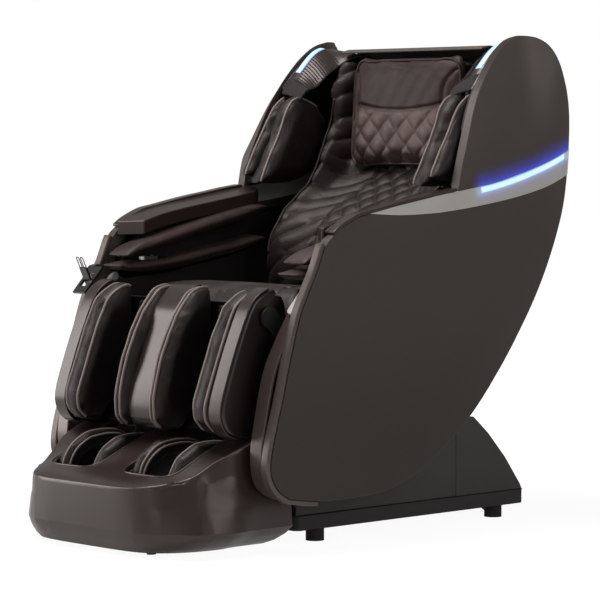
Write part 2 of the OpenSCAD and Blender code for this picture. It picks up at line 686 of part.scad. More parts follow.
// ---- Base ----
base_front = -186;
base_rear = 602;
plinth_z = 30;
plinth_top = 66;
frame_z = feet_h;
rail_top_z = 130;
slide_rail_x = 160;
slide_rail_w = 30;
cover_inset = 2;
tube_x = base_half - cover_inset - base_wall - seat_gap - tube;
cross_y = [-150, 190, 380, 500];
wheel_at = [570, wheel_r + 3];
axle_x = 190;
module base_frame() {
  color("#26282b") difference() {
    union() {
      both_sides() {
        box([tube_x, -170, frame_z], [tube_x + tube, 545, frame_z + tube]);
        box([slide_rail_x, -180, frame_z + tube + 16], [slide_rail_x + slide_rail_w, 300, rail_top_z]);
        for (y = [-150, 190]) box([slide_rail_x + 4, y, frame_z + tube - 1],
          [slide_rail_x + slide_rail_w - 4, y + tube,
          frame_z + tube + 17]);
        box([axle_x, 500 + tube - 1, wheel_at[1] - 14], [axle_x + 8, wheel_at[0] + 12, wheel_at[1] + 14]);
        box([axle_x, 500, wheel_at[1] + 4], [axle_x + 8, 500 + tube, frame_z + 1]);
      }
      for (y = cross_y) box([-tube_x - 1, y, frame_z], [tube_x + 1, y + tube, frame_z + tube]);
    }
    bar_x(-axle_x - 20, axle_x + 20, wheel_at, 6 + fit_gap);
  }
}
module transport_wheels() {
  color("#3c3c3c") {
    bar_x(-axle_x - 12, axle_x + 12, wheel_at, 6);
    both_sides() bar_x(axle_x - 26, axle_x - 4, wheel_at, wheel_r);
  }
}
plinth_plan = [[base_half - 8, base_front], [base_half, base_front + 8], [base_half, base_rear - 8],
  [base_half - 8, base_rear]];
module base_plinth() {
  color("#141414") difference() {
    translate([0, 0, plinth_z]) linear_extrude(plinth_top - plinth_z)
      polygon(concat(plinth_plan, mirrored(plinth_plan)));
    box([-base_half + base_wall, base_front + base_wall, plinth_z - 1],
      [base_half - base_wall, base_rear - base_wall, plinth_top + 1]);
  }
}
seam_y = 356;
cover_side = [[base_front, plinth_top], [base_front, 180], [-130, 214], [300, 214], [seam_y, 236],
  [seam_y, plinth_top]];
lip = 16;
module base_cover() {
  color("#353433") {
    along_x(base_half - cover_inset - base_wall, base_half - cover_inset) polygon(cover_side);
    along_x(base_half - cover_inset - lip, base_half - cover_inset - base_wall)
      polygon([[-130, 210], [-130, 214], [300, 214], [seam_y, 236],
      [seam_y, 232], [300, 210]]);
  }
}
rear_profile = [[seam_y, plinth_top], [seam_y, 240], [388, 262], [420, 260], [473, 216], [536, 150],
  [590, 80],
  [598, plinth_top]];
slope_lo = [590, 80];
slope_hi = [536, 150];
slope_tilt = atan2(slope_hi[1] - slope_lo[1], slope_hi[0] - slope_lo[0]) - 180;
inlet_mid = (slope_lo + slope_hi) / 2;
inlet_x = -130;
module on_slope() {
  translate([inlet_x, inlet_mid[0], inlet_mid[1]]) rotate([slope_tilt, 0, 0]) children();
}
inlet_w = 96;
inlet_h = 40;
module base_rear_cover() {
  color("#353433") difference() {
    along_x(cover_inset - base_half, base_half - cover_inset) polygon(rear_profile);
    along_x(cover_inset + base_wall - base_half, base_half - cover_inset - base_wall)
      polygon(concat([[seam_y - 1, plinth_top - 1],
      [seam_y - 1, 232]], [for (i = [1 : len(rear_profile) - 2])
        rear_profile[i] - [base_wall * 0.8, base_wall * 1.2]],
      [[598 - base_wall, plinth_top - 1]]));
    on_slope() translate([-inlet_w / 2, -inlet_h / 2, -30]) cube([inlet_w, inlet_h, 60]);
  }
}
rocker_r = 9;
rocker_w = 18;
rocker_x = 30;
module power_inlet() {
  color("#1b1b1c") on_slope() difference() {
    union() {
      translate([-inlet_w / 2 + 0.3, -inlet_h / 2 + 0.3, -16]) cube([inlet_w - 0.6, inlet_h - 0.6, 15]);
      translate([-inlet_w / 2 - 3, -inlet_h / 2 - 2, seat_gap]) cube([inlet_w + 6, inlet_h + 4, 2]);
      translate([-inlet_w / 2 + 1, -inlet_h / 2 + 1, -2]) cube([inlet_w - 2, inlet_h - 2, 3]);
    }
    translate([-34, -12, -12]) cube([48, 24, 20]);
    translate([rocker_x - rocker_w / 2 - 0.4, 0, rocker_axis_z]) rotate([0, 90, 0])
      cylinder(r = rocker_r + 0.4, h = rocker_w + 0.8);
  }
  color("#b0b0b0") on_slope() for (x = [-22, -10, 2]) translate([x - 1, -3, -12.5]) cube([2, 6, 9]);
}
rocker_axis_z = -2;
rocker_set = -8;
rocker_face = 12;
module power_switch() {
  color("#262626") on_slope() translate([rocker_x, 0, rocker_axis_z]) difference() {
    translate([-rocker_w / 2, 0, 0]) rotate([0, 90, 0]) cylinder(r = rocker_r, h = rocker_w);
    for (s = [-1, 1]) rotate([rocker_set + s * rocker_face, 0, 0])
      translate([-rocker_w, min(0, s * rocker_w), 6])
      cube([2 * rocker_w, rocker_w, rocker_w]);
  }
}
box_l = 170;
box_w = 110;
box_h = 48;
box_at = [-200, 395, frame_z + tube];
vent_w = 8;
vent_step = 20;
vent_t = 5;
vent_h = 28;
module control_box() {
  color("#55585c") translate(box_at) difference() {
    cube([box_l, box_w, box_h]);
    for (x = [vent_step / 2 : vent_step : box_l - vent_w]) translate([x, -vent_t, box_h - vent_h - 10])
      cube([vent_w, 2 * vent_t, vent_h]);
  }
}
pump_r = 32;
pump_h = 54;
pump_gap = 80;
pump_l = 160;
pump_w = 100;
pump_base_t = 8;
pump_bridge = 20;
pump_at = [110, 450, frame_z + tube];
module air_pump() {
  color("#44484c") translate(pump_at) {
    translate([-pump_l / 2, -pump_w / 2, 0]) cube([pump_l, pump_w, pump_base_t]);
    for (s = [-1, 1]) translate([s * pump_gap / 2, 0, pump_base_t - 1]) cylinder(r = pump_r, h = pump_h);
    translate([-pump_gap / 2, -pump_bridge / 2, pump_h - pump_bridge - 4])
      cube([pump_gap, pump_bridge, pump_bridge]);
  }
}
module base_feet() {
  color("#111111") both_sides() for (y = [-102, 516])
    translate([tube_x + tube / 2, y, 0]) cylinder(r = feet_r, h = feet_h);
}

// ---- Slide carriage and tilt drive ----
beam_z = rail_top_z + 22;
beam_h = 40;
beam_front = -140;
beam_rear = 262;
motor_pin = [236, rod_pin[1] + 2];
motor_pin_r = 6;
module slide_carriage() {
  color("#3f454b") difference() {
    union() {
      both_sides() {
        box([slide_rail_x - 5, beam_front, beam_z], [slide_rail_x + 35, beam_rear, beam_z + beam_h]);
        for (y = [0, 200]) box([slide_rail_x, y, rail_top_z + seat_gap],
          [slide_rail_x + slide_rail_w, y + 60, beam_z + 1]);
        along_x(lug_x + lug_t + 1, lug_x + lug_t + 9) polygon([[-90, beam_z], [80, beam_z],
          tilt_pivot + [22, 6],
          tilt_pivot + [0, 24], tilt_pivot + [-22, 6]]);
        box([slide_rail_x + 34, -90, beam_z], [lug_x + lug_t + 2, 80, beam_z + beam_h]);
        bar_x(lug_x - 1, lug_x + lug_t + 8, tilt_pivot, tilt_pin_r);
        along_x(24, 32) polygon([[210, beam_z + 4], [260, beam_z + 4], motor_pin + [14, 0],
          motor_pin + [0, 14],
          motor_pin + [-14, 0]]);
        bar_x(17, 25, motor_pin, motor_pin_r);
      }
      for (y = [-135, 215]) box([-slide_rail_x, y, beam_z + 2], [slide_rail_x, y + 40, beam_z + 32]);
    }
  }
}
motor_l = 150;
motor_dir = (rod_pin - motor_pin) / norm(rod_pin - motor_pin);
motor_angle = atan2(motor_dir[1], motor_dir[0]) - 180;
motor_r = 14;
rod_r = 6;
module on_motor() {
  translate([0, motor_pin[0], motor_pin[1]]) rotate([motor_angle, 0, 0]) children();
}
// In the frame of on_motor, the rod points along -Y
module tilt_motor() {
  color("#5b6066") on_motor() difference() {
    union() {
      rotate([90, 0, 0]) cylinder(r = motor_r, h = motor_l);
      translate([-22, -20, -12]) cube([44, 34, 24]);
      translate([-15, -70, -46]) cube([30, 60, 40]);
    }
    bar_x(-30, 30, [0, 0], motor_pin_r + fit_gap);
    translate([0, -24, 0]) rotate([90, 0, 0]) cylinder(r = rod_r + fit_gap, h = motor_l);
  }
}
rod_l = norm(rod_pin - motor_pin);
open_gap = 2.6;
module tilt_rod() {
  color("#c4c6c9") on_motor() difference() {
    union() {
      translate([0, -rod_l + 12, 0]) rotate([90, 0, 0]) translate([0, 0, -rod_l + 60])
        cylinder(r = rod_r, h = rod_l - 60);
      translate([0, -rod_l, 0]) bar_x(-7, 7, [0, 0], rod_pin_r + open_gap + 7);
    }
    translate([0, -rod_l, 0]) bar_x(-8, 8, [0, 0], rod_pin_r + open_gap);
  }
}

// ---- Hand control on the right lower arm pad ----
control_shift = 1;
control_at = [control_shift - pad_mid, -150, 649.4];
button_r = 9;
button_h = 6;
button_gap = 24;
module hand_control() {
  color("#2a2a2c") translate(control_at) difference() {
    linear_extrude(8) {
      square([26, 34], center = true);
      for (s = [-1, 1]) translate([0, s * 17]) circle(13);
    }
    for (s = [-1, 1]) translate([0, s * button_gap / 2, 3]) cylinder(r = button_r + 0.3, h = 10);
  }
}
module control_button(s) {
  color("#d6d8da") translate(control_at + [0, s * button_gap / 2, 5.2]) cylinder(r = button_r, h = button_h);
}

// ---- Phone holder on the right front edge: a tray, and a crossed rest with two wire loops ----
holder_pivot = [-312, 602];
holder_inset = 48;
holder_x = holder_inset - half_w;
holder_w = 46;
holder_t = 6;
tray_l = 84;
tray_lean = 47;
rest_w = 24;
rest_l = 70;
rest_lean = 116;
pin_r = 2.5;
wire_r = 1.3;
loop_w = 9;
loop_l = 24;
// In this frame Y runs along the plate, and Z stands on it
module on_holder(lean) {
  translate([holder_x, holder_pivot[0], holder_pivot[1]]) rotate([lean, 0, 0]) children();
}
module holder_tray() {
  color("#191919") {
    on_holder(tray_lean) difference() {
      translate([-holder_w / 2, -tray_l / 2, -holder_t / 2]) cube([holder_w, tray_l, holder_t]);
      translate([-rest_w / 2 - 1, -tray_l / 4, -holder_t]) cube([rest_w + 2, tray_l / 2, 2 * holder_t]);
      translate([-holder_w, 0, 0]) rotate([0, 90, 0]) cylinder(r = pin_r + fit_gap, h = 2 * holder_w);
    }
    along_x(-half_w + panel_t + 4, holder_x - rest_w / 2 - 4)
      polygon([[-297, 616], [-274.1, 616], [-260.9, 640], [-279, 636]]);
  }
}
module phone_holder() {
  color("#151515") on_holder(rest_lean) {
    translate([-rest_w / 2, -rest_l / 2, -holder_t / 2]) cube([rest_w, rest_l, holder_t]);
    translate([-holder_w / 2, 0, 0]) rotate([0, 90, 0]) cylinder(r = pin_r, h = holder_w);
    for (s = [-1, 1]) translate([s * (rest_w - loop_w) / 2, rest_l / 2 + loop_l, 0]) {
      rotate_extrude(angle = 180) translate([loop_w / 2, 0]) circle(wire_r, $fn = 16);
      for (t = [-1, 1]) translate([t * loop_w / 2, 0, 0]) rotate([90, 0, 0])
        cylinder(r = wire_r, h = loop_l + 1);
    }
  }
}

base_frame();
base_plinth();
base_cover();  // base_cover_left
mirror([1, 0, 0]) base_cover();  // base_cover_right
base_rear_cover();
base_feet();
control_box();
air_pump();
power_inlet();
power_switch();
transport_wheels();
slide_carriage();
tilt_motor();
tilt_rod();
seat_frame();
back_frame();
guide_rails();
rear_shell();
side_shell();  // side_shell_left
mirror([1, 0, 0]) side_shell();  // side_shell_right
edge_strip();  // edge_strip_left
mirror([1, 0, 0]) edge_strip();  // edge_strip_right
gloss_strip();  // gloss_strip_left
mirror([1, 0, 0]) gloss_strip();  // gloss_strip_right
arm_liner();  // arm_liner_left
mirror([1, 0, 0]) arm_liner();  // arm_liner_right
wing();  // wing_left
mirror([1, 0, 0]) wing();  // wing_right
wing_liner();  // wing_liner_left
mirror([1, 0, 0]) wing_liner();  // wing_liner_right
hood();  // hood_left
mirror([1, 0, 0]) hood();  // hood_right
silver_band();  // silver_band_left
mirror([1, 0, 0]) silver_band();  // silver_band_right
light_strips();
shoulder_grilles();
arm_cap();  // arm_cap_left
mirror([1, 0, 0]) arm_cap();  // arm_cap_right
arm_pads_upper();
arm_pads_lower();
speakers();
seat_pad();
back_pad();
head_pillow();
shoulder_pads();  // shoulder_pads_left
mirror([1, 0, 0]) shoulder_pads();  // shoulder_pads_right
hand_control();
control_button(-1);  // control_button_front
control_button(1);  // control_button_rear
holder_tray();
phone_holder();
massage_carriage();
kneading_arms();
kneading_rollers();
calf_shell();
calf_trims();
calf_pads();
foot_shell();
foot_pads();
foot_rollers();
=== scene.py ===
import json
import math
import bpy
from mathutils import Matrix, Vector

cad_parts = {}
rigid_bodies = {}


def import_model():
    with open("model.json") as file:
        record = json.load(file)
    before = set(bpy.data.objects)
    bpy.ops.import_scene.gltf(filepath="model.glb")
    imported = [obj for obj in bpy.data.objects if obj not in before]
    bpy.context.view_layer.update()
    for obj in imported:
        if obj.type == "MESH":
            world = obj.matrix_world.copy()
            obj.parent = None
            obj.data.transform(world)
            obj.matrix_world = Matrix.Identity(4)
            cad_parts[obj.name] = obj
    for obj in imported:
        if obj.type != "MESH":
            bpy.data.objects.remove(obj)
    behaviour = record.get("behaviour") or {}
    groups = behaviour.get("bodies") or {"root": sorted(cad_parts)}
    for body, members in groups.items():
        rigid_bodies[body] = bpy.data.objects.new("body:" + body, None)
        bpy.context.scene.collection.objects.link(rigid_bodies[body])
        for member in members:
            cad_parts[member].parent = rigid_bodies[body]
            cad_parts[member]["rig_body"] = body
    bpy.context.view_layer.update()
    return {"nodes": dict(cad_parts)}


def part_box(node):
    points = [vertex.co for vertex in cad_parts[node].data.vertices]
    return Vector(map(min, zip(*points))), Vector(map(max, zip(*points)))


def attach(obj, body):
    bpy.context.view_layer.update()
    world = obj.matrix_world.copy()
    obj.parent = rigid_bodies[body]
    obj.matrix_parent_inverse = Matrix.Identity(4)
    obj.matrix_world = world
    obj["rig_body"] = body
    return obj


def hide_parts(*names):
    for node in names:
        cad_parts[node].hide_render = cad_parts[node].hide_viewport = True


bl_info = {
    "name": "Massage chair builder",
    "version": (1, 0, 0),
    "blender": (4, 5, 0),
    "location": "3D View > Sidebar > Massage chair",
    "description": "Dresses the packed massage chair with its upholstery, shells and trims",
    "category": "Object",
}

import bmesh
import bpy
from bpy.props import FloatProperty, FloatVectorProperty, IntProperty, PointerProperty
from mathutils import Matrix, Vector
from mathutils.bvhtree import BVHTree

for spare in list(bpy.data.objects):
    bpy.data.objects.remove(spare)
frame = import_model()

MM = 0.001
SIDES = (("left", 1), ("right", -1))


# ---- Sizes and colours that a user may change ----

def tint(r, g, b):
    """A display colour of 0 to 255 as the linear colour that a shader takes."""
    out = []
    for c in (r, g, b):
        c /= 255
        out.append(c / 12.92 if c <= 0.04045 else ((c + 0.055) / 1.055) ** 2.4)
    return (*out, 1.0)


def colour_prop(name, text, rgb):
    return FloatVectorProperty(
        name=name, description=text, subtype="COLOR", size=4, min=0, max=1, default=tint(*rgb)
    )


def length_prop(name, text, value):
    return FloatProperty(name=name, description=text, default=value, min=0, unit="LENGTH")


class ChairSizes(bpy.types.PropertyGroup):
    piping: length_prop("Piping radius", "Radius of the sewn piping", 0.0036)
    diamond_w: length_prop("Diamond width", "Width of a quilted diamond on the pillow", 0.066)
    diamond_h: length_prop("Diamond height", "Height of a quilted diamond on the pillow", 0.069)
    crown: length_prop("Panel crown", "How far a side panel's middle stands over its rim", 0.005)
    cloth_steps: IntProperty(name="Cloth steps", description="Frames of cloth simulation", default=20, min=1)


class ChairColours(bpy.types.PropertyGroup):
    shell: colour_prop("Shell", "Textured outer side panels", (59, 52, 48))
    satin: colour_prop("Satin strip", "Satin strips along the panels' front edges", (84, 75, 71))
    gloss: colour_prop("Gloss trim", "Glossy brown trims", (45, 33, 30))
    # A lighter copy of the gloss brown: its extra lightness is painted highlight on the inner strips.
    strip: colour_prop("Inner strip", "Glossy strips behind the satin ones", (74, 62, 57))
    silver: colour_prop("Silver band", "Painted band under the wings", (200, 195, 189))
    leather: colour_prop("Leather", "Seat and back leather", (24, 17, 15))
    pad: colour_prop("Pad leather", "Leather of the shoulder, calf and foot pads", (17, 13, 12))
    pillow: colour_prop("Pillow leather", "Leather of the head pillow", (72, 57, 53))
    arm: colour_prop("Arm leather", "Leather of the arm pads", (46, 31, 29))
    liner: colour_prop("Liner", "Dark inner liners", (20, 17, 16))
    piping: colour_prop("Piping", "Twisted piping along the seams", (136, 120, 114))
    base: colour_prop("Base covers", "Matt covers of the base", (58, 57, 55))
    glow: colour_prop("Light", "Light strips", (205, 246, 255))


def sizes():
    return bpy.context.scene.chair_sizes


def chosen(colour):
    """A colour given as it is, or by the name of one that a user may change."""
    return tuple(getattr(bpy.context.scene.chair_colours, colour)) if isinstance(colour, str) else colour


# ---- Material building ----

class Graph:
    """Short calls for one node tree."""

    def __init__(self, tree):
        self.tree = tree

    def add(self, kind, values=(), **props):
        node = self.tree.nodes.new(kind)
        for key, value in props.items():
            setattr(node, key, value)
        for key, value in dict(values).items():
            self.set(node.inputs[key], value)
        return node

    def set(self, socket, value):
        if isinstance(value, bpy.types.NodeSocket):
            self.tree.links.new(value, socket)
        else:
            socket.default_value = value

    def math(self, op, a, b=None, c=None):
        node = self.tree.nodes.new("ShaderNodeMath")
        node.operation = op
        for socket, value in zip(node.inputs, (a, b, c)):
            if value is not None:
                self.set(socket, value)
        return node.outputs[0]

    def times(self, a, b):
        return self.math("MULTIPLY", a, b)

    def spread(self, value, low, high, to_low=0.0, to_high=1.0, smooth=True):
        node = self.add("ShaderNodeMapRange", clamp=True)
        if smooth:
            node.interpolation_type = "SMOOTHSTEP"
        names = ("Value", "From Min", "From Max", "To Min", "To Max")
        for key, v in zip(names, (value, low, high, to_low, to_high)):
            self.set(node.inputs[key], v)
        return node.outputs[0]

    def mix(self, factor, a, b, kind="MIX"):
        node = self.add("ShaderNodeMix", data_type="RGBA", blend_type=kind)
        for i, value in ((0, factor), (6, a), (7, b)):
            self.set(node.inputs[i], value)
        return node.outputs[2]

    def noise(self, vector, scale, detail=3.0, rough=0.5, distortion=0.0):
        look = {"Scale": scale, "Detail": detail, "Roughness": rough, "Distortion": distortion}
        return self.add("ShaderNodeTexNoise", {"Vector": vector, **look}).outputs[0]

    def split(self, vector):
        return self.add("ShaderNodeSeparateXYZ", {0: vector}).outputs

    def place(self):
        return self.add("ShaderNodeTexCoord").outputs["Object"]

    def use(self, tree, **values):
        return self.add("ShaderNodeGroup", values, node_tree=tree).outputs


def effect(name, inputs, outputs, build):
    """A node group built once; an input without a value is a vector, all else is a number."""
    tree = bpy.data.node_groups.get(name)
    if tree:
        return tree
    tree = bpy.data.node_groups.new(name, "ShaderNodeTree")
    for label, value in inputs.items():
        kind = "NodeSocketVector" if value is None else "NodeSocketFloat"
        socket = tree.interface.new_socket(name=label, in_out="INPUT", socket_type=kind)
        if value is not None:
            socket.default_value = value
    for label in outputs:
        tree.interface.new_socket(name=label, in_out="OUTPUT", socket_type="NodeSocketFloat")
    g = Graph(tree)
    source = g.add("NodeGroupInput")
    sink = g.add("NodeGroupOutput")
    results = build(g, source.outputs)
    for label in outputs:
        tree.links.new(results[label], sink.inputs[label])
    return tree


def leather_grain():
    """Pebbled grain with a few long creases."""
    def build(g, s):
        warp = g.times(g.noise(s["Place"], 90.0, 2.0), 0.004)
        shift = g.add("ShaderNodeVectorMath", {0: s["Place"], 1: warp}, operation="ADD")
        cells = g.add("ShaderNodeTexVoronoi", {"Vector": shift.outputs[0], "Scale": s["Cells"]},
                      feature="DISTANCE_TO_EDGE")
        pebble = g.spread(cells.outputs["Distance"], 0.0, 0.22)
        crease = g.noise(s["Place"], 26.0, 4.0, 0.55, 1.2)
        crease_line = g.spread(g.math("ABSOLUTE", g.math("SUBTRACT", crease, 0.5)), 0.0, 0.05)
        height = g.math("MULTIPLY_ADD", crease_line, 0.7, pebble)
        tone = g.noise(s["Place"], 7.0, 3.0, 0.6)
        return {"Height": height, "Pebble": pebble, "Crease": crease_line, "Tone": tone}
    outputs = ("Height", "Pebble", "Crease", "Tone")
    return effect("Leather grain", {"Place": None, "Cells": 620.0}, outputs, build)


def fine_texture():
    """Fine moulded texture with a faint brushed run and slow changes of tone."""
    def build(g, s):
        speck = g.noise(s["Place"], s["Scale"], 4.0, 0.7)
        stretch = g.add("ShaderNodeMapping", {"Vector": s["Place"], "Scale": (1.0, 1.0, 9.0)})
        run = g.noise(stretch.outputs[0], g.times(s["Scale"], 0.3), 3.0, 0.6)
        height = g.math("MULTIPLY_ADD", run, 0.5, speck)
        return {"Height": height, "Speck": speck, "Tone": g.noise(s["Place"], 3.2, 2.0, 0.5)}
    return effect("Fine texture", {"Place": None, "Scale": 900.0}, ("Height", "Speck", "Tone"), build)


def dust_and_wear():
    """Dust on faces that look up and light rubbing, as masks."""
    def build(g, s):
        up = g.spread(g.split(s["Facing"])[2], 0.55, 1.0)
        dust = g.times(up, g.spread(g.noise(s["Place"], 16.0, 5.0, 0.65), 0.42, 0.72))
        rub = g.spread(g.noise(s["Place"], 55.0, 6.0, 0.7), 0.5, 0.75)
        return {"Dust": dust, "Rub": rub}
    return effect("Dust and wear", {"Place": None, "Facing": None}, ("Dust", "Rub"), build)


STRIP_START = 0.278
HOOD_STRIP_X = 0.322
HOOD_STRIP_HALF = 0.010


def strip_line():
    """Height over the side light strip's middle, where the strip runs, and place across a hood's strip."""
    def build(g, s):
        x, y, z = g.split(s["Place"])
        run = g.math("SUBTRACT", y, STRIP_START)
        curve = g.math("MULTIPLY_ADD", g.times(run, run), 0.38, g.math("MULTIPLY_ADD", run, 0.135, 0.832))
        rise = g.math("SUBTRACT", z, g.math("SUBTRACT", curve, 0.009))
        beside = g.math("ABSOLUTE", x)
        inside = g.times(g.spread(y, 0.262, 0.30), g.math("GREATER_THAN", beside, 0.36))
        across = g.math("DIVIDE", g.math("SUBTRACT", beside, HOOD_STRIP_X), HOOD_STRIP_HALF)
        return {"Rise": rise, "Inside": inside, "Across": g.math("ABSOLUTE", across)}
    return effect("Light strip line", {"Place": None}, ("Rise", "Inside", "Across"), build)


def start_material():
    mat = bpy.data.materials.new("finish")
    mat.use_nodes = True
    g = Graph(mat.node_tree)
    return mat, g, mat.node_tree.nodes["Principled BSDF"].inputs, g.place()


def relief(g, shader, height, strength, distance):
    bump = g.add("ShaderNodeBump", {"Height": height, "Strength": strength, "Distance": distance})
    g.set(shader["Normal"], bump.outputs[0])


def facing(g):
    return g.add("ShaderNodeNewGeometry").outputs["Normal"]


def dusted(g, place, colour, rough, amount):
    wear = g.use(dust_and_wear(), Place=place, Facing=facing(g))
    dust = g.times(wear["Dust"], amount)
    colour = g.mix(dust, colour, (0.23, 0.21, 0.19, 1))
    rough = g.math("MULTIPLY_ADD", dust, 0.4, rough)
    return colour, g.math("MULTIPLY_ADD", wear["Rub"], 0.03, rough)


def scaled(colour, k):
    return (*(min(1, c * k) for c in colour[:3]), 1)


def leather(colour, rough, coat, cells=620.0):
    mat, g, shader, place = start_material()
    grain = g.use(leather_grain(), Place=place, Cells=cells)
    seam = g.add("ShaderNodeAttribute", attribute_name="seam").outputs["Fac"]
    body = g.mix(g.spread(grain["Tone"], 0.3, 0.7), scaled(colour, 0.82), scaled(colour, 1.2))
    between = g.times(g.math("SUBTRACT", 1.0, grain["Pebble"]), 0.35)
    body = g.mix(between, body, scaled(colour, 0.45))
    # Painted shade: darker and rougher along the stitched seams' grooves, from the seam attribute.
    body = g.mix(seam, body, scaled(colour, 0.22))
    value = g.math("MULTIPLY_ADD", g.math("SUBTRACT", 1.0, grain["Crease"]), 0.10, rough)
    value = g.math("MULTIPLY_ADD", seam, 0.3, value)
    body, value = dusted(g, place, body, value, 0.10)
    g.set(shader["Base Color"], body)
    g.set(shader["Roughness"], value)
    shader["Specular IOR Level"].default_value = 0.36
    shader["Specular Tint"].default_value = (1.0, 0.84, 0.79, 1)
    shader["Sheen Weight"].default_value = 0.03
    shader["Sheen Roughness"].default_value = 0.4
    shader["Coat Weight"].default_value = coat
    shader["Coat Roughness"].default_value = 0.3
    relief(g, shader, grain["Height"], 0.35, 0.0004)
    return mat


def panel_paint(colour, rough, scale, depth, metallic=0.0, coat=0.0, coat_rough=0.1, dust=0.12, vary=0.12,
                specks=0.2):
    mat, g, shader, place = start_material()
    fine = g.use(fine_texture(), Place=place, Scale=float(scale))
    body = g.mix(g.spread(fine["Tone"], 0.35, 0.65), scaled(colour, 1 - vary), scaled(colour, 1 + vary))
    speck = g.spread(fine["Speck"], 0.35, 0.65)
    body = g.mix(g.times(speck, specks), body, scaled(colour, 1.35))
    value = g.math("MULTIPLY_ADD", speck, 0.08, rough)
    body, value = dusted(g, place, body, value, dust)
    g.set(shader["Base Color"], body)
    g.set(shader["Roughness"], value)
    shader["Metallic"].default_value = metallic
    shader["Coat Weight"].default_value = coat
    shader["Coat Roughness"].default_value = coat_rough
    shader["Specular Tint"].default_value = (1.0, 0.9, 0.86, 1)
    relief(g, shader, fine["Height"], depth, 0.0002)
    return mat


def piping_cord(colour):
    """Twisted cord piping: diagonal strands read from the cord's own lay."""
    mat, g, shader, place = start_material()
    along, around, _ = g.split(g.add("ShaderNodeAttribute", attribute_name="lay").outputs["Vector"])
    turn = g.math("ADD", g.times(along, 2 * math.pi), g.times(around, 2.0))
    strand = g.math("ABSOLUTE", g.math("SINE", turn))
    body = g.mix(g.spread(strand, 0.0, 0.75), scaled(colour, 0.25), scaled(colour, 1.25))
    fibre = g.noise(place, 1500.0, 3.0, 0.7)
    body = g.mix(g.times(fibre, 0.3), body, scaled(colour, 0.6))
    g.set(shader["Base Color"], body)
    g.set(shader["Roughness"], g.spread(strand, 0.0, 1.0, 0.75, 0.42))
    relief(g, shader, g.math("MULTIPLY_ADD", fibre, 0.2, strand), 0.6, 0.0008)
    return mat


def light_lens(colour):
    """Pale strip light with a bluer rim."""
    mat, g, shader, place = start_material()
    line = g.use(strip_line(), Place=place)
    on_side = g.math("LESS_THAN", g.split(place)[2], 1.0)
    off = g.math("DIVIDE", g.math("ABSOLUTE", line["Rise"]), 0.0085)
    off = g.add("ShaderNodeMix", {0: on_side, 2: line["Across"], 3: off}).outputs[0]
    soft = g.noise(place, 40.0, 2.0)
    body = g.mix(g.spread(soft, 0.3, 0.7, 0.0, 0.3), colour, (0.9, 1, 1, 1))
    body = g.mix(g.spread(off, 0.55, 1.05, 0.0, 0.8), body, tint(70, 110, 255))
    g.set(shader["Base Color"], scaled(colour, 0.2))
    g.set(shader["Roughness"], g.spread(soft, 0.3, 0.7, 0.3, 0.4))
    g.set(shader["Emission Color"], body)
    shader["Emission Strength"].default_value = 0.95
    return mat


def painted_height_light(mat, *stops):
    """Paints light and shade by height: scales the base colour and the gleam by height, with pairs of a
    height in metres and a factor.
    """
    g = Graph(mat.node_tree)
    shader = mat.node_tree.nodes["Principled BSDF"].inputs
    height = g.split(g.place())[2]
    factor = stops[0][1]
    for (low, _), (high, above) in zip(stops, stops[1:]):
        step = g.spread(height, low, high)
        below = g.times(g.math("SUBTRACT", 1.0, step), factor)
        factor = g.math("ADD", g.times(step, above), below)
    grey = g.add("ShaderNodeCombineColor", {0: factor, 1: factor, 2: factor})
    base, gleam = shader["Base Color"], shader["Specular IOR Level"]
    g.set(base, g.mix(1.0, base.links[0].from_socket, grey.outputs[0], "MULTIPLY"))
    g.set(gleam, g.times(factor, gleam.default_value))


def painted_strip_glow(mat, strength, sign, reach, core_colour):
    """Paints, as emission on the surface, the blue glow that the side strip would throw upwards (sign 1) or
    downwards (sign -1).
    """
    g = Graph(mat.node_tree)
    shader = mat.node_tree.nodes["Principled BSDF"].inputs
    place = g.place()
    line = g.use(strip_line(), Place=place)
    away = g.times(line["Rise"], sign)
    fade = g.math("POWER", g.spread(away, 0.006, reach, 1.0, 0.0, False), 2.6)
    uneven = g.spread(g.noise(place, 9.0, 1.0), 0.3, 0.7, 0.75, 1.0)
    outer = g.times(g.split(facing(g))[0], g.split(place)[0])
    near = g.times(g.spread(away, -0.012, -0.004), g.math("GREATER_THAN", outer, 0.1))
    mask = g.times(g.times(fade, line["Inside"]), g.times(uneven, near))
    core = g.spread(away, 0.006, 0.022, 1.0, 0.0)
    g.set(shader["Emission Color"], g.mix(core, tint(45, 70, 235), core_colour))
    g.set(shader["Emission Strength"], g.times(mask, strength))


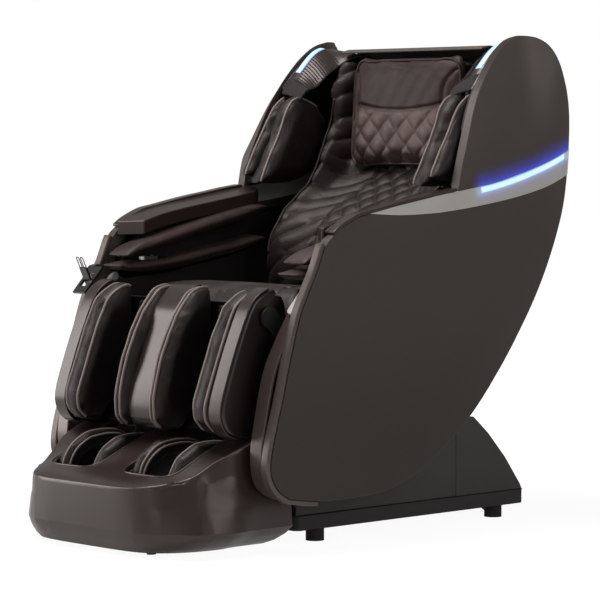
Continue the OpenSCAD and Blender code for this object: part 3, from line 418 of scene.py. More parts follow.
# Colour, roughness, texture's scale and depth, metallic, coat, coat's roughness, dust, tone change, specks
BRUSHED = (220, 0.12, 1.0, 0.0, 0.1, 0.05, 0.05)
PAINTS = {
    "shell": ("shell", 0.5, 1100, 0.5, 0.0, 0.05, 0.35, 0.10, 0.06),
    "satin": ("satin", 0.33, 800, 0.25, 0.35, 0.0, 0.2, 0.08, 0.06),
    "gloss": ("gloss", 0.3, 1600, 0.02, 0.2, 0.25, 0.2, 0.04, 0.03, 0.06),
    # Lighter copy of gloss: the extra lightness paints in the inner strips' highlight.
    "strip": ("strip", 0.3, 1600, 0.02, 0.3, 0.3, 0.2, 0.04, 0.03, 0.06),
    "silver": ("silver", 0.36, 900, 0.12, 0.25, 0.1, 0.2, 0.05, 0.03),
    "liner": ("liner", 0.55, 700, 0.5),
    "base": ("base", 0.6, 1000, 0.6),
    "plinth": (tint(24, 23, 23), 0.55, 800, 0.5),
    "steel": (tint(40, 41, 43), 0.45, 600, 0.6, 0.4),
    "motor": (tint(62, 65, 70), 0.4, 500, 0.4, 0.6),
    "rail": (tint(178, 180, 184), 0.26, *BRUSHED),
    "polished": (tint(190, 190, 192), 0.12, *BRUSHED),
    "chrome": (tint(205, 203, 202), 0.16, *BRUSHED),
    "rubber": (tint(22, 22, 22), 0.75, 500, 0.8),
    "roller": (tint(120, 118, 114), 0.5, 500, 0.3),
    "holder": (tint(20, 19, 19), 0.28, 500, 0.1, 0.0, 0.3),
    "wall": (tint(22, 17, 16), 0.3, 900, 0.1, 0.0, 0.2, 0.25, 0.05),
    "grille": (tint(11, 9, 9), 0.75, 600, 0.1),
}
# Colour, roughness, coat, cells per metre
LEATHERS = {
    "leather": ("leather", 0.42, 0.06),
    "pad": ("pad", 0.36, 0.04),
    "pillow": ("pillow", 0.4, 0.08, 560.0),
    "arm": ("arm", 0.42, 0.1, 700.0),
}
# Painted light and shade by height: the shell darker low down and lighter at the top; the pillow's quilt
# lighter and its upper panel darker, with less gleam.
PAINTED_HEIGHT_LIGHT = {"shell": ((0.15, 0.68), (0.65, 0.96), (1.15, 1.35)), "pillow": ((1.005, 1.35), (1.04, 0.5))}
# Painted light: the side strip's glow, painted as emission on the shell above it and on the silver band below
# it.
PAINTED_STRIP_GLOWS = {
    "shell": (0.8, 1.0, 0.062, tint(60, 90, 255)),
    "silver": (0.4, -1.0, 0.05, tint(150, 190, 255)),
}
SLOT_FINISH = {
    "outer_shell": "shell", "edge_satin": "satin", "gloss_brown": "gloss", "silver_trim": "silver",
    "dark_liner": "liner", "leather": "leather", "arm_leather": "arm", "pillow_leather": "pillow",
    "base_plastic": "base", "plinth_plastic": "plinth", "frame_steel": "steel", "motor_paint": "motor",
    "bright_rail": "rail", "polished_steel": "polished", "control_chrome": "chrome", "foot_rubber": "rubber",
    "roller_plastic": "roller", "light_lens": "lens", "holder_plastic": "holder",
}


def material(name):
    """The named finish, built on first use."""
    mat = bpy.data.materials.get("chair_" + name)
    if mat:
        return mat
    if name == "piping":
        mat = piping_cord(chosen("piping"))
    elif name == "lens":
        mat = light_lens(chosen("glow"))
    else:
        build, table = (leather, LEATHERS) if name in LEATHERS else (panel_paint, PAINTS)
        colour, *look = table[name]
        mat = build(chosen(colour), *look)
    if name in PAINTED_HEIGHT_LIGHT:
        painted_height_light(mat, *PAINTED_HEIGHT_LIGHT[name])
    if name in PAINTED_STRIP_GLOWS:
        painted_strip_glow(mat, *PAINTED_STRIP_GLOWS[name])
    mat.name = "chair_" + name
    return mat


# ---- Mesh helpers ----

def slot_of(node):
    return frame["nodes"][node].data.materials[0].name.split(".")[0]


def body_of(node):
    return frame["nodes"][node]["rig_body"]


def cad_mesh(node, join=None):
    """A merged copy of a node's mesh; faces within join degrees of each other become one."""
    bm = bmesh.new()
    bm.from_mesh(frame["nodes"][node].data)
    bmesh.ops.remove_doubles(bm, verts=bm.verts, dist=2e-6)
    if join:
        bmesh.ops.dissolve_limit(bm, angle_limit=math.radians(join), verts=bm.verts, edges=bm.edges)
    return bm


def centre(bm):
    return sum((v.co for v in bm.verts), Vector()) / len(bm.verts)


def islands(bm):
    """The separate closed solids of a mesh, each as its own mesh."""
    left = set(bm.verts)
    out = []
    while left:
        seed = left.pop()
        group, queue = {seed}, [seed]
        while queue:
            v = queue.pop()
            for e in v.link_edges:
                w = e.other_vert(v)
                if w not in group:
                    group.add(w)
                    queue.append(w)
        left -= group
        part = bm.copy()
        part.verts.ensure_lookup_table()
        keep = {v.index for v in group}
        bmesh.ops.delete(part, geom=[v for v in part.verts if v.index not in keep], context="VERTS")
        out.append(part)
    return out


def reshape(bm, rule):
    for v in bm.verts:
        v.co = rule(v.co)


def shrink(bm, middle, k):
    reshape(bm, lambda p: middle + (p - middle) * k)


def cut_across(bm, axis, at):
    """Cuts a mesh by a plane across one axis."""
    place, normal = Vector((0, 0, 0)), Vector((0, 0, 0))
    place[axis] = at
    normal[axis] = 1
    everything = bm.verts[:] + bm.edges[:] + bm.faces[:]
    bmesh.ops.bisect_plane(bm, geom=everything, dist=1e-6, plane_co=place, plane_no=normal)


def cut_grid(bm, step, axes=(1, 2)):
    """Cuts a mesh into squares, so that a wide face can bend."""
    for axis in axes:
        low = min(v.co[axis] for v in bm.verts)
        high = max(v.co[axis] for v in bm.verts)
        at = low + step
        while at < high - step * 0.3:
            cut_across(bm, axis, at)
            at += step


def folded(edge, degrees):
    return len(edge.link_faces) == 2 and edge.calc_face_angle(0.0) > math.radians(degrees)


def soften_rims(bm, width, segments=3, degrees=30.0, test=lambda e: True):
    """Rounds the edges that turn by more than some degrees and pass a test."""
    edges = [e for e in bm.edges if folded(e, degrees) and test(e)]
    if edges:
        bmesh.ops.bevel(bm, geom=edges, offset=width, offset_type="OFFSET", segments=segments, affect="EDGES",
                        profile=0.5, material=-1, clamp_overlap=False, loop_slide=True)


def placed(name, data):
    ob = bpy.data.objects.new(name, data)
    bpy.context.scene.collection.objects.link(ob)
    return ob


def linked(name, bm):
    """An object made of a mesh that is then let go."""
    mesh = bpy.data.meshes.new(name)
    bm.to_mesh(mesh)
    bm.free()
    return placed(name, mesh)


def settle(ob, body, replaced=()):
    """Lets a piece ride on a body, in the place of some nodes."""
    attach(ob, body)
    if replaced:
        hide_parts(*replaced)


def skin(node, bm, *finishes, sharp=38.0, weighted=True):
    """Makes the piece that stands in for a node, on its body and in its slot's finish, with edges sharp over
    some degrees.
    """
    for f in bm.faces:
        f.smooth = True
    for e in bm.edges:
        e.smooth = not folded(e, sharp)
    ob = linked(node + "_skin", bm)
    slot = slot_of(node)
    for finish in finishes or (SLOT_FINISH[slot],):
        ob.data.materials.append(material(finish))
    if weighted:
        ob.modifiers.new("Even shading", "WEIGHTED_NORMAL").keep_sharp = True
    settle(ob, body_of(node), (node,))
    return ob


def rounded_copy(node, width, *finishes):
    bm = cad_mesh(node, 1.0)
    soften_rims(bm, width)
    skin(node, bm, *finishes)


def dress(ob, finish, body, replaced=()):
    """Shades a soft piece smoothly in its finish and settles it."""
    for p in ob.data.polygons:
        p.use_smooth = True
    ob.data.materials.clear()
    ob.data.materials.append(material(finish))
    settle(ob, body, replaced)


def evaluated_mesh(ob):
    depsgraph = bpy.context.evaluated_depsgraph_get()
    depsgraph.update()
    return bpy.data.meshes.new_from_object(ob.evaluated_get(depsgraph))


def apply_all(ob):
    mesh = evaluated_mesh(ob)
    ob.modifiers.clear()
    ob.data = mesh


def blow_up(ob, cap, pressure):
    """Swells a cushion as cloth under pressure, each point held within cap."""
    stiffness = 15.0
    start = [v.co.copy() for v in ob.data.vertices]
    cloth = ob.modifiers.new("Cloth", "CLOTH")
    cs = cloth.settings
    cs.quality = 4
    cs.use_pressure = True
    cs.uniform_pressure_force = pressure
    cs.tension_stiffness = cs.compression_stiffness = stiffness
    cs.shear_stiffness = stiffness * 0.5
    cs.effector_weights.gravity = 0
    steps = sizes().cloth_steps
    cloth.point_cache.frame_start = 1
    cloth.point_cache.frame_end = steps
    scene = bpy.context.scene
    for f in range(1, steps + 1):
        scene.frame_set(f)
    blown = evaluated_mesh(ob)
    ob.modifiers.clear()
    for v, old, new in zip(ob.data.vertices, start, blown.vertices):
        move = new.co - old
        if move.length > cap:
            move *= cap / move.length
        v.co = old + move
    bpy.data.meshes.remove(blown)
    scene.frame_set(1)


def smoothed(ob, rounds, factor=0.5):
    bm = bmesh.new()
    bm.from_mesh(ob.data)
    for _ in range(rounds):
        bmesh.ops.smooth_vert(bm, verts=bm.verts, factor=factor, use_axis_x=True, use_axis_y=True,
                              use_axis_z=True)
    bm.to_mesh(ob.data)
    bm.free()


def cushion(name, bm, voxel, cap, pressure, rounds=2):
    """A cushion from a slightly smaller form: remeshed, blown up, smoothed and made finer."""
    ob = linked(name, bm)
    remesh = ob.modifiers.new("Even mesh", "REMESH")
    remesh.mode = "VOXEL"
    remesh.voxel_size = voxel
    apply_all(ob)
    blow_up(ob, cap, pressure)
    smoothed(ob, rounds)
    finer = ob.modifiers.new("Finer", "SUBSURF")
    finer.levels = finer.render_levels = 1
    apply_all(ob)
    return ob


def carve(ob, field):
    """Moves each point along its normal by field(point, normal) -> (shift, painted shade along the seams),
    kept as the seam attribute.
    """
    mesh = ob.data
    normals = [v.normal.copy() for v in mesh.vertices]
    values = []
    for v, normal in zip(mesh.vertices, normals):
        shift, seam = field(v.co, normal)
        v.co += normal * shift
        values.append(clamp(seam))
    mesh.attributes.new("seam", "FLOAT", "POINT").data.foreach_set("value", values)
    mesh.update()


# ---- Lines ----

def smooth_path(points):
    """Points on a soft curve through the given ones."""
    cuts = 6
    out = []
    for i in range(len(points) - 1):
        a, b = points[max(i - 1, 0)], points[i]
        c, d = points[i + 1], points[min(i + 2, len(points) - 1)]
        bend, twist = a * 2 - b * 5 + c * 4 - d, b * 3 - a - c * 3 + d
        for k in range(cuts):
            t = k / cuts
            out.append((b * 2 + (c - a) * t + bend * t ** 2 + twist * t ** 3) / 2)
    out.append(points[-1])
    return out


def even_path(points, step):
    """The same line with points a step apart."""
    out = [points[0]]
    carry = 0.0
    for a, b in zip(points, points[1:]):
        span = (b - a).length
        if span < 1e-9:
            continue
        t = step - carry
        while t < span:
            out.append(a + (b - a) * (t / span))
            t += step
        carry = span - (t - step)
    if (out[-1] - points[-1]).length > step * 0.3:
        out.append(points[-1])
    return out


def relaxed(points, rounds):
    """The same line with each inner point drawn towards its neighbours."""
    for _ in range(rounds):
        inner = [(a + b * 2 + c) / 4 for a, b, c in zip(points, points[1:], points[2:])]
        points = [points[0], *inner, points[-1]]
    return points


def surface_tree(*objects):
    """A search tree over the finished surfaces of some pieces."""
    verts, faces = [], []
    for ob in objects:
        base = len(verts)
        verts.extend(v.co.copy() for v in ob.data.vertices)
        faces.extend([base + i for i in p.vertices] for p in ob.data.polygons)
    return BVHTree.FromPolygons(verts, faces)


def plumbed(tree, x, y):
    """Where a plumb line from over the chair first meets a surface."""
    return tree.ray_cast(Vector((x, y, 1.4)), Vector((0, 0, -1)))[0]


def snapped(points, tree, lift, rounds):
    """A line laid on a surface, standing out by lift."""
    hits = [tree.find_nearest(p) for p in points]
    return relaxed([place + normal * lift for place, normal, _, _ in hits], rounds)


def seam_line(tree, x, path, lift=0.001, rounds=2):
    """A soft line through millimetre (y, z) pairs at one x, laid on a surface."""
    return snapped(smooth_path([Vector((x, y, z)) * MM for y, z in path]), tree, lift, rounds)


def tube(name, paths, radius, finish, body, twist=0.0, step=0.004):
    """Round cord along one or more paths; a twist gives it a rope's lay."""
    sides = 3
    data = bpy.data.curves.new(name, "CURVE")
    data.dimensions = "3D"
    data.bevel_depth = radius
    data.bevel_resolution = sides - 1
    data.use_fill_caps = True
    for points in paths:
        points = even_path(points, step)
        spline = data.splines.new("POLY")
        spline.points.add(len(points) - 1)
        for p, q in zip(spline.points, points):
            p.co = (*q, 1)
    curve = placed(name, data)
    mesh = evaluated_mesh(curve)
    bpy.data.objects.remove(curve)
    ring = 2 * (sides + 1)
    turn = step / twist if twist else 0.0
    lay = mesh.attributes.new("lay", "FLOAT_VECTOR", "POINT")
    for i, at in enumerate(lay.data):
        at.vector = (i // ring * turn, 2 * math.pi * (i % ring) / ring, 0)
    ob = placed(name, mesh)
    dress(ob, finish, body)
    return ob


def nearest_on(line, p):
    """Distance from a point to a line of (y, z) pairs, and how far along it the nearest place is, in mm."""
    y, z = p.y / MM, p.z / MM
    best, along, run = 1e9, 0.0, 0.0
    for (y0, z0), (y1, z1) in zip(line, line[1:]):
        dy, dz = y1 - y0, z1 - z0
        span = math.hypot(dy, dz)
        t = clamp(((y - y0) * dy + (z - z0) * dz) / (span * span))
        d = math.hypot(y - y0 - t * dy, z - z0 - t * dz)
        if d < best:
            best, along = d, run + t * span
        run += span
    return best, along


# ---- Shape rules ----

def clamp(value):
    return max(0.0, min(1.0, value))


def ease(value, low, high):
    t = clamp((value - low) / (high - low))
    return t * t * (3 - 2 * t)


def valley(distance, width):
    return math.exp(-((distance / width) ** 2))


def diamonds(across, along):
    """The two crossing waves of a diamond quilt, nil on its seams."""
    return math.sin(math.pi * ((across + along) % 1.0)), math.sin(math.pi * ((across - along) % 1.0))


PANEL_RIM = [
    (-77, 775), (-118, 767), (-169, 745), (-192, 729), (-217, 706), (-244, 645), (-270, 598), (-298, 541),
    (-329, 440), (-354, 346), (-383, 245), (-387, 192), (-366, 154), (-331, 131), (-240, 119), (-123, 117),
    (-4, 129), (119, 177), (218, 245), (290, 305), (372, 394), (440, 480), (505, 575), (560, 680), (597, 780),
    (611, 860), (617, 922), (619, 990), (614, 1045), (602, 1090), (580, 1140), (550, 1175), (515, 1194),
    (480, 1201), (445, 1200), (395, 1182), (340, 1130), (286, 1045), (250, 940), (232, 880), (220, 823),
]
RIM_REACH = 90
BACK_LINE = [(190, 556), (214, 650), (262, 725), (335, 785), (412, 828), (456, 868), (474, 925), (489, 1000),
             (500, 1080), (508, 1150)]
BACK_RIDGE = [(166, 664), (206, 737), (252, 790), (309, 848), (345, 920), (376, 979), (425, 1060),
              (486, 1150)]
SHOULDER_IN = [(185, 836), (214, 899), (245, 956), (276, 1022), (297, 1050), (322, 1060), (355, 1052),
               (392, 1037)]
SHOULDER_OUT = [(188, 856), (219, 922), (257, 990), (293, 1038), (324, 1058), (349, 1059), (400, 1045)]
CENTRE_PIPE = [(-288, 604), (-306, 608), (-347, 601), (-397, 550), (-425, 505), (-453, 438), (-474, 342),
               (-470, 292), (-445, 270)]
WALL_PIPE = [(-285, 602), (-300, 606), (-322, 602), (-371, 573), (-410, 502), (-447, 410), (-470, 338),
             (-464, 300), (-438, 275)]
FOOT_PIPE = [(-520, 120), (-515, 165), (-500, 203), (-462, 236), (-415, 247), (-365, 248), (-325, 243)]
FOOT_TOP = [(-616, 160), (-590, 171), (-530, 190), (-479, 211), (-420, 238), (-358, 262), (-320, 268),
            (-251, 262)]


def crown_drop(p):
    """How far a side's softly crowned face lies below its middle at a point."""
    d = min(1.0, nearest_on(PANEL_RIM, p)[0] / RIM_REACH)
    return sizes().crown * (1 - d) ** 2


def crowned(bm, outward, depth=0.001):
    """Lowers the outer face towards the panels' common rim, so that a side is crowned as one."""
    top = max(v.co.x * outward for v in bm.verts)
    for v in bm.verts:
        if v.co.x * outward > top - depth:
            v.co.x -= outward * crown_drop(v.co)


def leaned(p):
    """The wings' tops lean inwards and back, most at the front."""
    ax = abs(p.x)
    high = max(0.0, p.z - 0.90) / 0.30
    beside = min(1.0, max(0.0, ax - 0.330) / 0.070)
    lean = 0.060 * high * (1 - ease(p.y, 0.44, 0.60)) * beside
    return Vector((math.copysign(ax - lean, p.x), p.y + 0.945 * lean, p.z))


def bent_hood(p):
    """A hood falls away inwards at its louvres, reaches further in behind them, and lies lower in front."""
    ax = abs(p.x)
    inner = max(0.0, 0.315 - ax)
    fall = 0.040 * (inner / 0.064) ** 1.4
    fall *= (0.3 + 0.7 * ease(p.y, 0.33, 0.38)) * (1 - 0.8 * ease(p.y, 0.43, 0.50))
    low = 0.014 * (1 - ease(p.y, 0.371, 0.446)) * (1 - ease(ax, 0.345, 0.366))
    ax -= 0.8 * inner * ease(p.y, 0.44, 0.53)
    return leaned(Vector((math.copysign(ax, p.x), p.y, p.z - fall - low)))


def drawn_foot(p):
    """The foot shell's front corners are rounder and draw in towards the top."""
    ax, y, z = abs(p.x), p.y, p.z
    corner = ease(ax, 0.17, 0.31) * ease(-y, 0.43, 0.60)
    rise = ease(z, 0.05, 0.21)
    ax -= 2.4 * max(0.0, ax - 0.2) ** 2 * rise * ease(-y, 0.36, 0.50)
    ax -= 0.022 * corner
    y += (0.020 + 0.024 * rise) * corner
    return Vector((math.copysign(ax, p.x), y, z))


def squared_rear(p, outer):
    """Moves the outer skin of the foot shell's rear corners out to a straight side."""
    gap = 0.008
    ax = abs(p.x)
    if p.y < -0.41 or ax < 0.16:
        return p
    inwards = Vector((-1, 0, 0))
    here = outer.ray_cast(Vector((1, min(p.y, -0.2525), p.z)), inwards)[0]
    side = outer.ray_cast(Vector((1, -0.43, p.z)), inwards)[0]
    if not here or not side or here.x < 0.2:
        return p
    ax += (side.x - gap * ease(p.y, -0.41, -0.39) - here.x) * ease(ax, here.x - 0.03, here.x - 0.004)
    ax = min(ax, max(abs(p.x), side.x - gap))
    return Vector((math.copysign(ax, p.x), p.y, p.z))


def rim_height(y):
    """Height of the foot shell's top at y, both in metres."""
    for (y0, z0), (y1, z1) in zip(FOOT_TOP, FOOT_TOP[1:]):
        if y / MM <= y1:
            return (z0 + (z1 - z0) * (y / MM - y0) / (y1 - y0)) * MM
    return FOOT_TOP[-1][1] * MM


def well_rim(outset):
    """Plan of a foot well's rim from back to front and back again, about the well's own middle."""
    half, corner, front, back = 0.083 + outset, 0.036 + outset, -0.549 - outset, -0.33
    bend = front + corner
    out = [(-half, back + (bend - back) * k / 12) for k in range(12)]
    for cx, start in ((corner - half, 180), (half - corner, 270)):
        for k in range(10):
            a = math.radians(start + 90 * k / 9)
            out.append((cx + corner * math.cos(a), bend + corner * math.sin(a)))
    out += [(half, bend + (back - bend) * k / 12) for k in range(1, 13)]
    return out


# ---- Pieces ----

class ChairStep(bpy.types.Operator):
    """Base of the builder's steps"""

    bl_options = {"REGISTER", "UNDO"}

    def execute(self, context):
        self.make()
        return {"FINISHED"}


class CHAIR_OT_finishes(ChairStep):
    """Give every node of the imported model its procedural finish"""

    bl_idname = "chair.finishes"
    bl_label = "Finishes"

    def make(self):
        for node, ob in frame["nodes"].items():
            for held in ob.material_slots:
                held.link = "OBJECT"
                held.material = material(SLOT_FINISH[slot_of(node)])


class CHAIR_OT_side_panels(ChairStep):
    """Crowned outer side panels and wings"""

    bl_idname = "chair.side_panels"
    bl_label = "Side panels"

    def make(self):
        for side, outward in SIDES:
            for part in ("side_shell_", "wing_"):
                bm = cad_mesh(part + side, 1.0)
                rim = max(v.co.x * outward for v in bm.verts) - 0.012
                cut_grid(bm, 0.03)
                bmesh.ops.remove_doubles(bm, verts=bm.verts, dist=0.0016)
                crowned(bm, outward)
                soften_rims(bm, 0.0025, 3, 40.0, lambda e: e.calc_length() > 0.0012
                            and all(v.co.x * outward > rim for v in e.verts))
                if part == "wing_":
                    reshape(bm, leaned)
                skin(part + side, bm, sharp=50.0)
            bm = cad_mesh("silver_band_" + side, 1.0)
            cut_grid(bm, 0.03)
            crowned(bm, outward)
            skin("silver_band_" + side, bm, sharp=30.0)
            bm = cad_mesh("wing_liner_" + side, 1.0)
            cut_grid(bm, 0.04)
            reshape(bm, leaned)
            skin("wing_liner_" + side, bm, sharp=30.0)


class CHAIR_OT_trims(ChairStep):
    """Strips, bands, caps, covers and liners with softened edges"""

    bl_idname = "chair.trims"
    bl_label = "Trims and covers"

    def make(self):
        for side, _ in SIDES:
            rounded_copy("edge_strip_" + side, 0.003)
            # The inner gloss strips take the lighter strip finish, which paints in their highlight.
            rounded_copy("gloss_strip_" + side, 0.0025, "strip")
            rounded_copy("arm_cap_" + side, 0.0025)
            rounded_copy("base_cover_" + side, 0.003)
        bm = cad_mesh("rear_shell", 1.0)
        soften_rims(bm, 0.0025)
        for x in (-0.35, -0.33, 0.33, 0.35):
            cut_across(bm, 0, x)
        reshape(bm, leaned)
        skin("rear_shell", bm)
        rounded_copy("base_rear_cover", 0.002)
        rounded_copy("base_plinth", 0.003)
        rounded_copy("calf_trims", 0.0018)


class CHAIR_OT_hoods(ChairStep):
    """Shoulder hoods with their louvres and light strips"""

    bl_idname = "chair.hoods"
    bl_label = "Hoods and lights"

    def make(self):
        ribs, skins = [], []
        for side, outward in SIDES:
            bm = cad_mesh("hood_" + side, 1.0)
            soften_rims(bm, 0.0025)
            cut_grid(bm, 0.01, (0,))
            cut_grid(bm, 0.016, (1,))
            for f in bm.faces:
                at = f.calc_center_median()
                f.material_index = int(at.y < 0.350 and abs(at.x) < 0.340)
            reshape(bm, bent_hood)
            skins.append(skin("hood_" + side, bm, "gloss", "grille", sharp=40.0))
            tree = surface_tree(skins[-1])
            for i in range(17):
                hits = [plumbed(tree, outward * (0.309 - 0.0054 * k), 0.347 + 0.0064 * i) for k in range(11)]
                line = [hit + Vector((0, 0, 0.0004)) for hit in hits if hit]
                if len(line) > 3:
                    ribs.append(line)
        ob = tube("shoulder_grilles_skin", ribs, 0.0015, "grille", "cradle", step=0.006)
        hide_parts("shoulder_grilles")

        tree = surface_tree(*skins)
        bm = cad_mesh("light_strips")
        cut_grid(bm, 0.02, (1,))
        bmesh.ops.delete(bm, geom=[v for v in bm.verts if v.co.z > 1.0], context="VERTS")
        for v in bm.verts:
            v.co.x -= math.copysign(crown_drop(v.co), v.co.x)
        for _, outward in SIDES:
            strip = bmesh.ops.create_grid(bm, x_segments=4, y_segments=16, size=0.5)["verts"]
            for v in strip:
                on_hood = plumbed(tree, outward * (HOOD_STRIP_X + 0.022 * v.co.x), 0.410 + 0.088 * v.co.y)
                v.co = on_hood + Vector((0, 0, 0.0012))
            faces = list({f for v in strip for f in v.link_faces})
            bmesh.ops.solidify(bm, geom=faces, thickness=0.002)
        bmesh.ops.recalc_face_normals(bm, faces=bm.faces)
        skin("light_strips", bm, sharp=40.0, weighted=False)


class CHAIR_OT_foot_shell(ChairStep):
    """Foot unit's moulded shell"""

    bl_idname = "chair.foot_shell"
    bl_label = "Foot shell"

    def make(self):
        bm = cad_mesh("foot_shell", 0.5)
        upper = [v for v in bm.verts if v.co.z > 0.13]
        bmesh.ops.remove_doubles(bm, verts=upper, dist=0.0045)
        soften_rims(bm, 0.006, 4, 40.0,
                    lambda e: all(v.co.z > 0.135 for v in e.verts) and e.calc_length() > 0.004)
        cut_grid(bm, 0.03, (0, 2))
        cut_grid(bm, 0.02, (1,))
        outer = BVHTree.FromBMesh(bm)
        reshape(bm, lambda p: drawn_foot(squared_rear(p, outer)))
        bm.normal_update()
        walls = [v for v in bm.verts if v.co.z > 0.08 and v.link_faces and all(
            abs(f.normal.z) < 0.6 and f.normal.dot(v.link_faces[0].normal) > 0.8 for f in v.link_faces)]
        for _ in range(6):
            bmesh.ops.smooth_vert(bm, verts=walls, factor=0.5, use_axis_x=True, use_axis_y=True)
        tree = surface_tree(skin("foot_shell", bm, sharp=36.0))
        lines = []
        for well in (-0.135, 0.135):
            for outset in (0.0035, -0.005):
                points = []
                for x, y in well_rim(outset):
                    hit = plumbed(tree, well + x, y)
                    if hit is None or hit.z < 0.13:
                        hit = Vector((well + x, y, rim_height(y) - 0.012))
                    points.append(hit)
                lines.append(relaxed(points, 3))
        tube("foot_well_rims", lines, 0.0026, "gloss", "foot_unit", step=0.006)


class CHAIR_OT_pillow(ChairStep):
    """Head pillow with a smooth upper panel, side gussets and a diamond quilt"""

    bl_idname = "chair.pillow"
    bl_label = "Head pillow"

    def make(self):
        bm = cad_mesh("head_pillow")
        lo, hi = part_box("head_pillow")
        middle = (lo + hi) / 2
        shrink(bm, middle, 0.975)
        ob = cushion("head_pillow_skin", bm, 0.0055, 0.012, 3.0, 3)
        dw, dh = sizes().diamond_w, sizes().diamond_h

        # dark is painted shade in the grooves of the double seam, the side seams and the quilt.
        def field(p, n):
            front = clamp((-n.y - 0.1) / 0.4)
            x, z = p.x, p.z
            top = 1.021 + 0.016 * (x / 0.15) ** 2
            half = 0.150 + 0.03 * max(0.0, (1.0 - z) / 0.13)
            shift, dark = 0.0, 0.0
            if abs(x) < half:
                double = min(abs(z - top - 0.004), abs(z - top + 0.004))
                shift -= 0.005 * valley(z - top, 0.006)
                dark += 0.9 * valley(double, 0.0016)
            bell = half + 0.022 * max(0.0, (z - 1.07) / 0.05) ** 2 if z > top else half
            side = abs(abs(x) - bell)
            if z < 1.125:
                shift -= 0.005 * valley(side, 0.006)
                dark += 0.9 * valley(side, 0.0018)
            if abs(x) < half and z < top - 0.006:
                su, sw = diamonds(x / dw, z / dh)
                puff = (su * sw) ** 0.45
                edge = min(1.0, (top - z) / 0.02, (half - abs(x)) / 0.015 + 0.2)
                shift += (0.0085 * puff - 0.004) * edge
                dark += 0.85 * valley(min(su * dw, sw * dw) / math.pi, 0.0014)
            shift += 0.0008 * math.sin(x * 95 + z * 40) * math.sin(z * 120 - x * 30)
            return shift * front, dark * front
        carve(ob, field)
        smoothed(ob, 1, 0.3)
        dress(ob, "pillow", "cradle", ("head_pillow",))
        loop = []
        for k in range(120):
            a = 2 * math.pi * k / 120
            u, w = (math.copysign(abs(c) ** 0.35, c) for c in (math.cos(a), math.sin(a)))
            loop.append(Vector((0.203 * u, middle.y - 0.012, middle.z + 0.144 * w)))
        loop.append(loop[0])
        line = snapped(loop, surface_tree(ob), 0.0015, 1)
        tube("head_pillow_piping", [line], sizes().piping, "pillow", "cradle", step=0.006)


class CHAIR_OT_back_pad(ChairStep):
    """Back pad with chevron bolsters beside a quilted middle"""

    bl_idname = "chair.back_pad"
    bl_label = "Back pad"

    def make(self):
        bm = cad_mesh("back_pad")
        cut_grid(bm, 0.02, (0, 2))
        for v in bm.verts:
            x, y, z = v.co
            v.co.y -= 0.05 * ease(z, 0.98, 1.10) * ease(abs(x), 0.205, 0.225) * ease(0.54 - y, 0.0, 0.03)
        ob = cushion("back_pad_skin", bm, 0.0075, 0.007, 2.0)

        # dark is painted shade in the grooves of the quilt, the chevrons and the side seam.
        def field(p, n):
            x = abs(p.x)
            s = nearest_on(BACK_LINE, p)[1] * MM
            front = clamp((-n.y + 0.5 * n.z + 0.05) / 0.4) if p.z > 0.56 else 0.0
            if x < 0.108:
                su, sw = diamonds(p.x / 0.062, s / 0.07)
                shift = 0.007 * (su * sw) ** 0.5 - 0.003
                dark = 0.8 * valley(min(su, sw) * 0.02, 0.0016)
            else:
                st = math.sin(math.pi * (((s + 0.85 * x) / 0.062) % 1.0))
                shift = 0.008 * st ** 0.6 - 0.004
                dark = 0.9 * valley(st * 0.02, 0.0022)
            side = abs(x - 0.108)
            shift -= 0.005 * valley(side, 0.005)
            dark += 0.9 * valley(side, 0.002)
            over_rollers = 0.009 * ease(n.y, 0.2, 0.6) * (1 - ease(x, 0.14, 0.17))
            return shift * front - over_rollers, dark * front
        carve(ob, field)
        dress(ob, "leather", "cradle", ("back_pad",))
        tree = surface_tree(ob)
        lines = [seam_line(tree, x, BACK_RIDGE, 0.0015, 1) for x in (-238, 238)]
        tube("back_pad_piping", lines, 0.003, "leather", "cradle", step=0.006)


class CHAIR_OT_seat_pad(ChairStep):
    """Seat pad with three crosswise channels"""

    bl_idname = "chair.seat_pad"
    bl_label = "Seat pad"

    def make(self):
        bm = cad_mesh("seat_pad")
        lo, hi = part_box("seat_pad")
        shrink(bm, (lo + hi) / 2, 0.985)
        ob = cushion("seat_pad_skin", bm, 0.008, 0.01, 3.0)

        # dark is painted shade in the grooves of the channels and the side seams.
        def field(p, n):
            up = clamp((n.z + 0.1) / 0.5)
            shift, dark = 0.0, 0.0
            for at in (-0.15, -0.05, 0.06):
                off = p.y - at - 0.1 * abs(p.x) ** 1.3
                shift -= 0.006 * valley(off, 0.006)
                dark += 0.9 * valley(off, 0.002)
            shift -= 0.005 * valley(abs(p.x) - 0.19, 0.006)
            dark += 0.9 * valley(abs(p.x) - 0.19, 0.002)
            return shift * up, dark * up
        carve(ob, field)
        dress(ob, "leather", "cradle", ("seat_pad",))


def cushion_set(node, name, body, finish, cap, voxel, k, field=None):
    """Blows up the solids of one side of a node, and gives each its mirrored twin on the other side."""
    found = []
    for part in islands(cad_mesh(node)):
        middle = centre(part)
        if middle.x < -MM:
            part.free()
        else:
            found.append((middle, part))
    found.sort(key=lambda m: (round(m[0].x, 4), round(m[0].z, 4), round(m[0].y, 4)))
    out = []
    for i, (middle, part) in enumerate(found):
        shrink(part, middle, k)
        ob = cushion(f"{name}_{i}", part, voxel, cap, 3.0)
        if field:
            carve(ob, field)
        both = bmesh.new()
        both.from_mesh(ob.data)
        bmesh.ops.mirror(both, geom=both.verts[:] + both.edges[:] + both.faces[:], axis="X", merge_dist=-1.0)
        bmesh.ops.recalc_face_normals(both, faces=both.faces)
        mesh = bpy.data.meshes.new(ob.name)
        both.to_mesh(mesh)
        both.free()
        ob.data = mesh
        dress(ob, finish, body, (node,))
        out.append(ob)
    return out


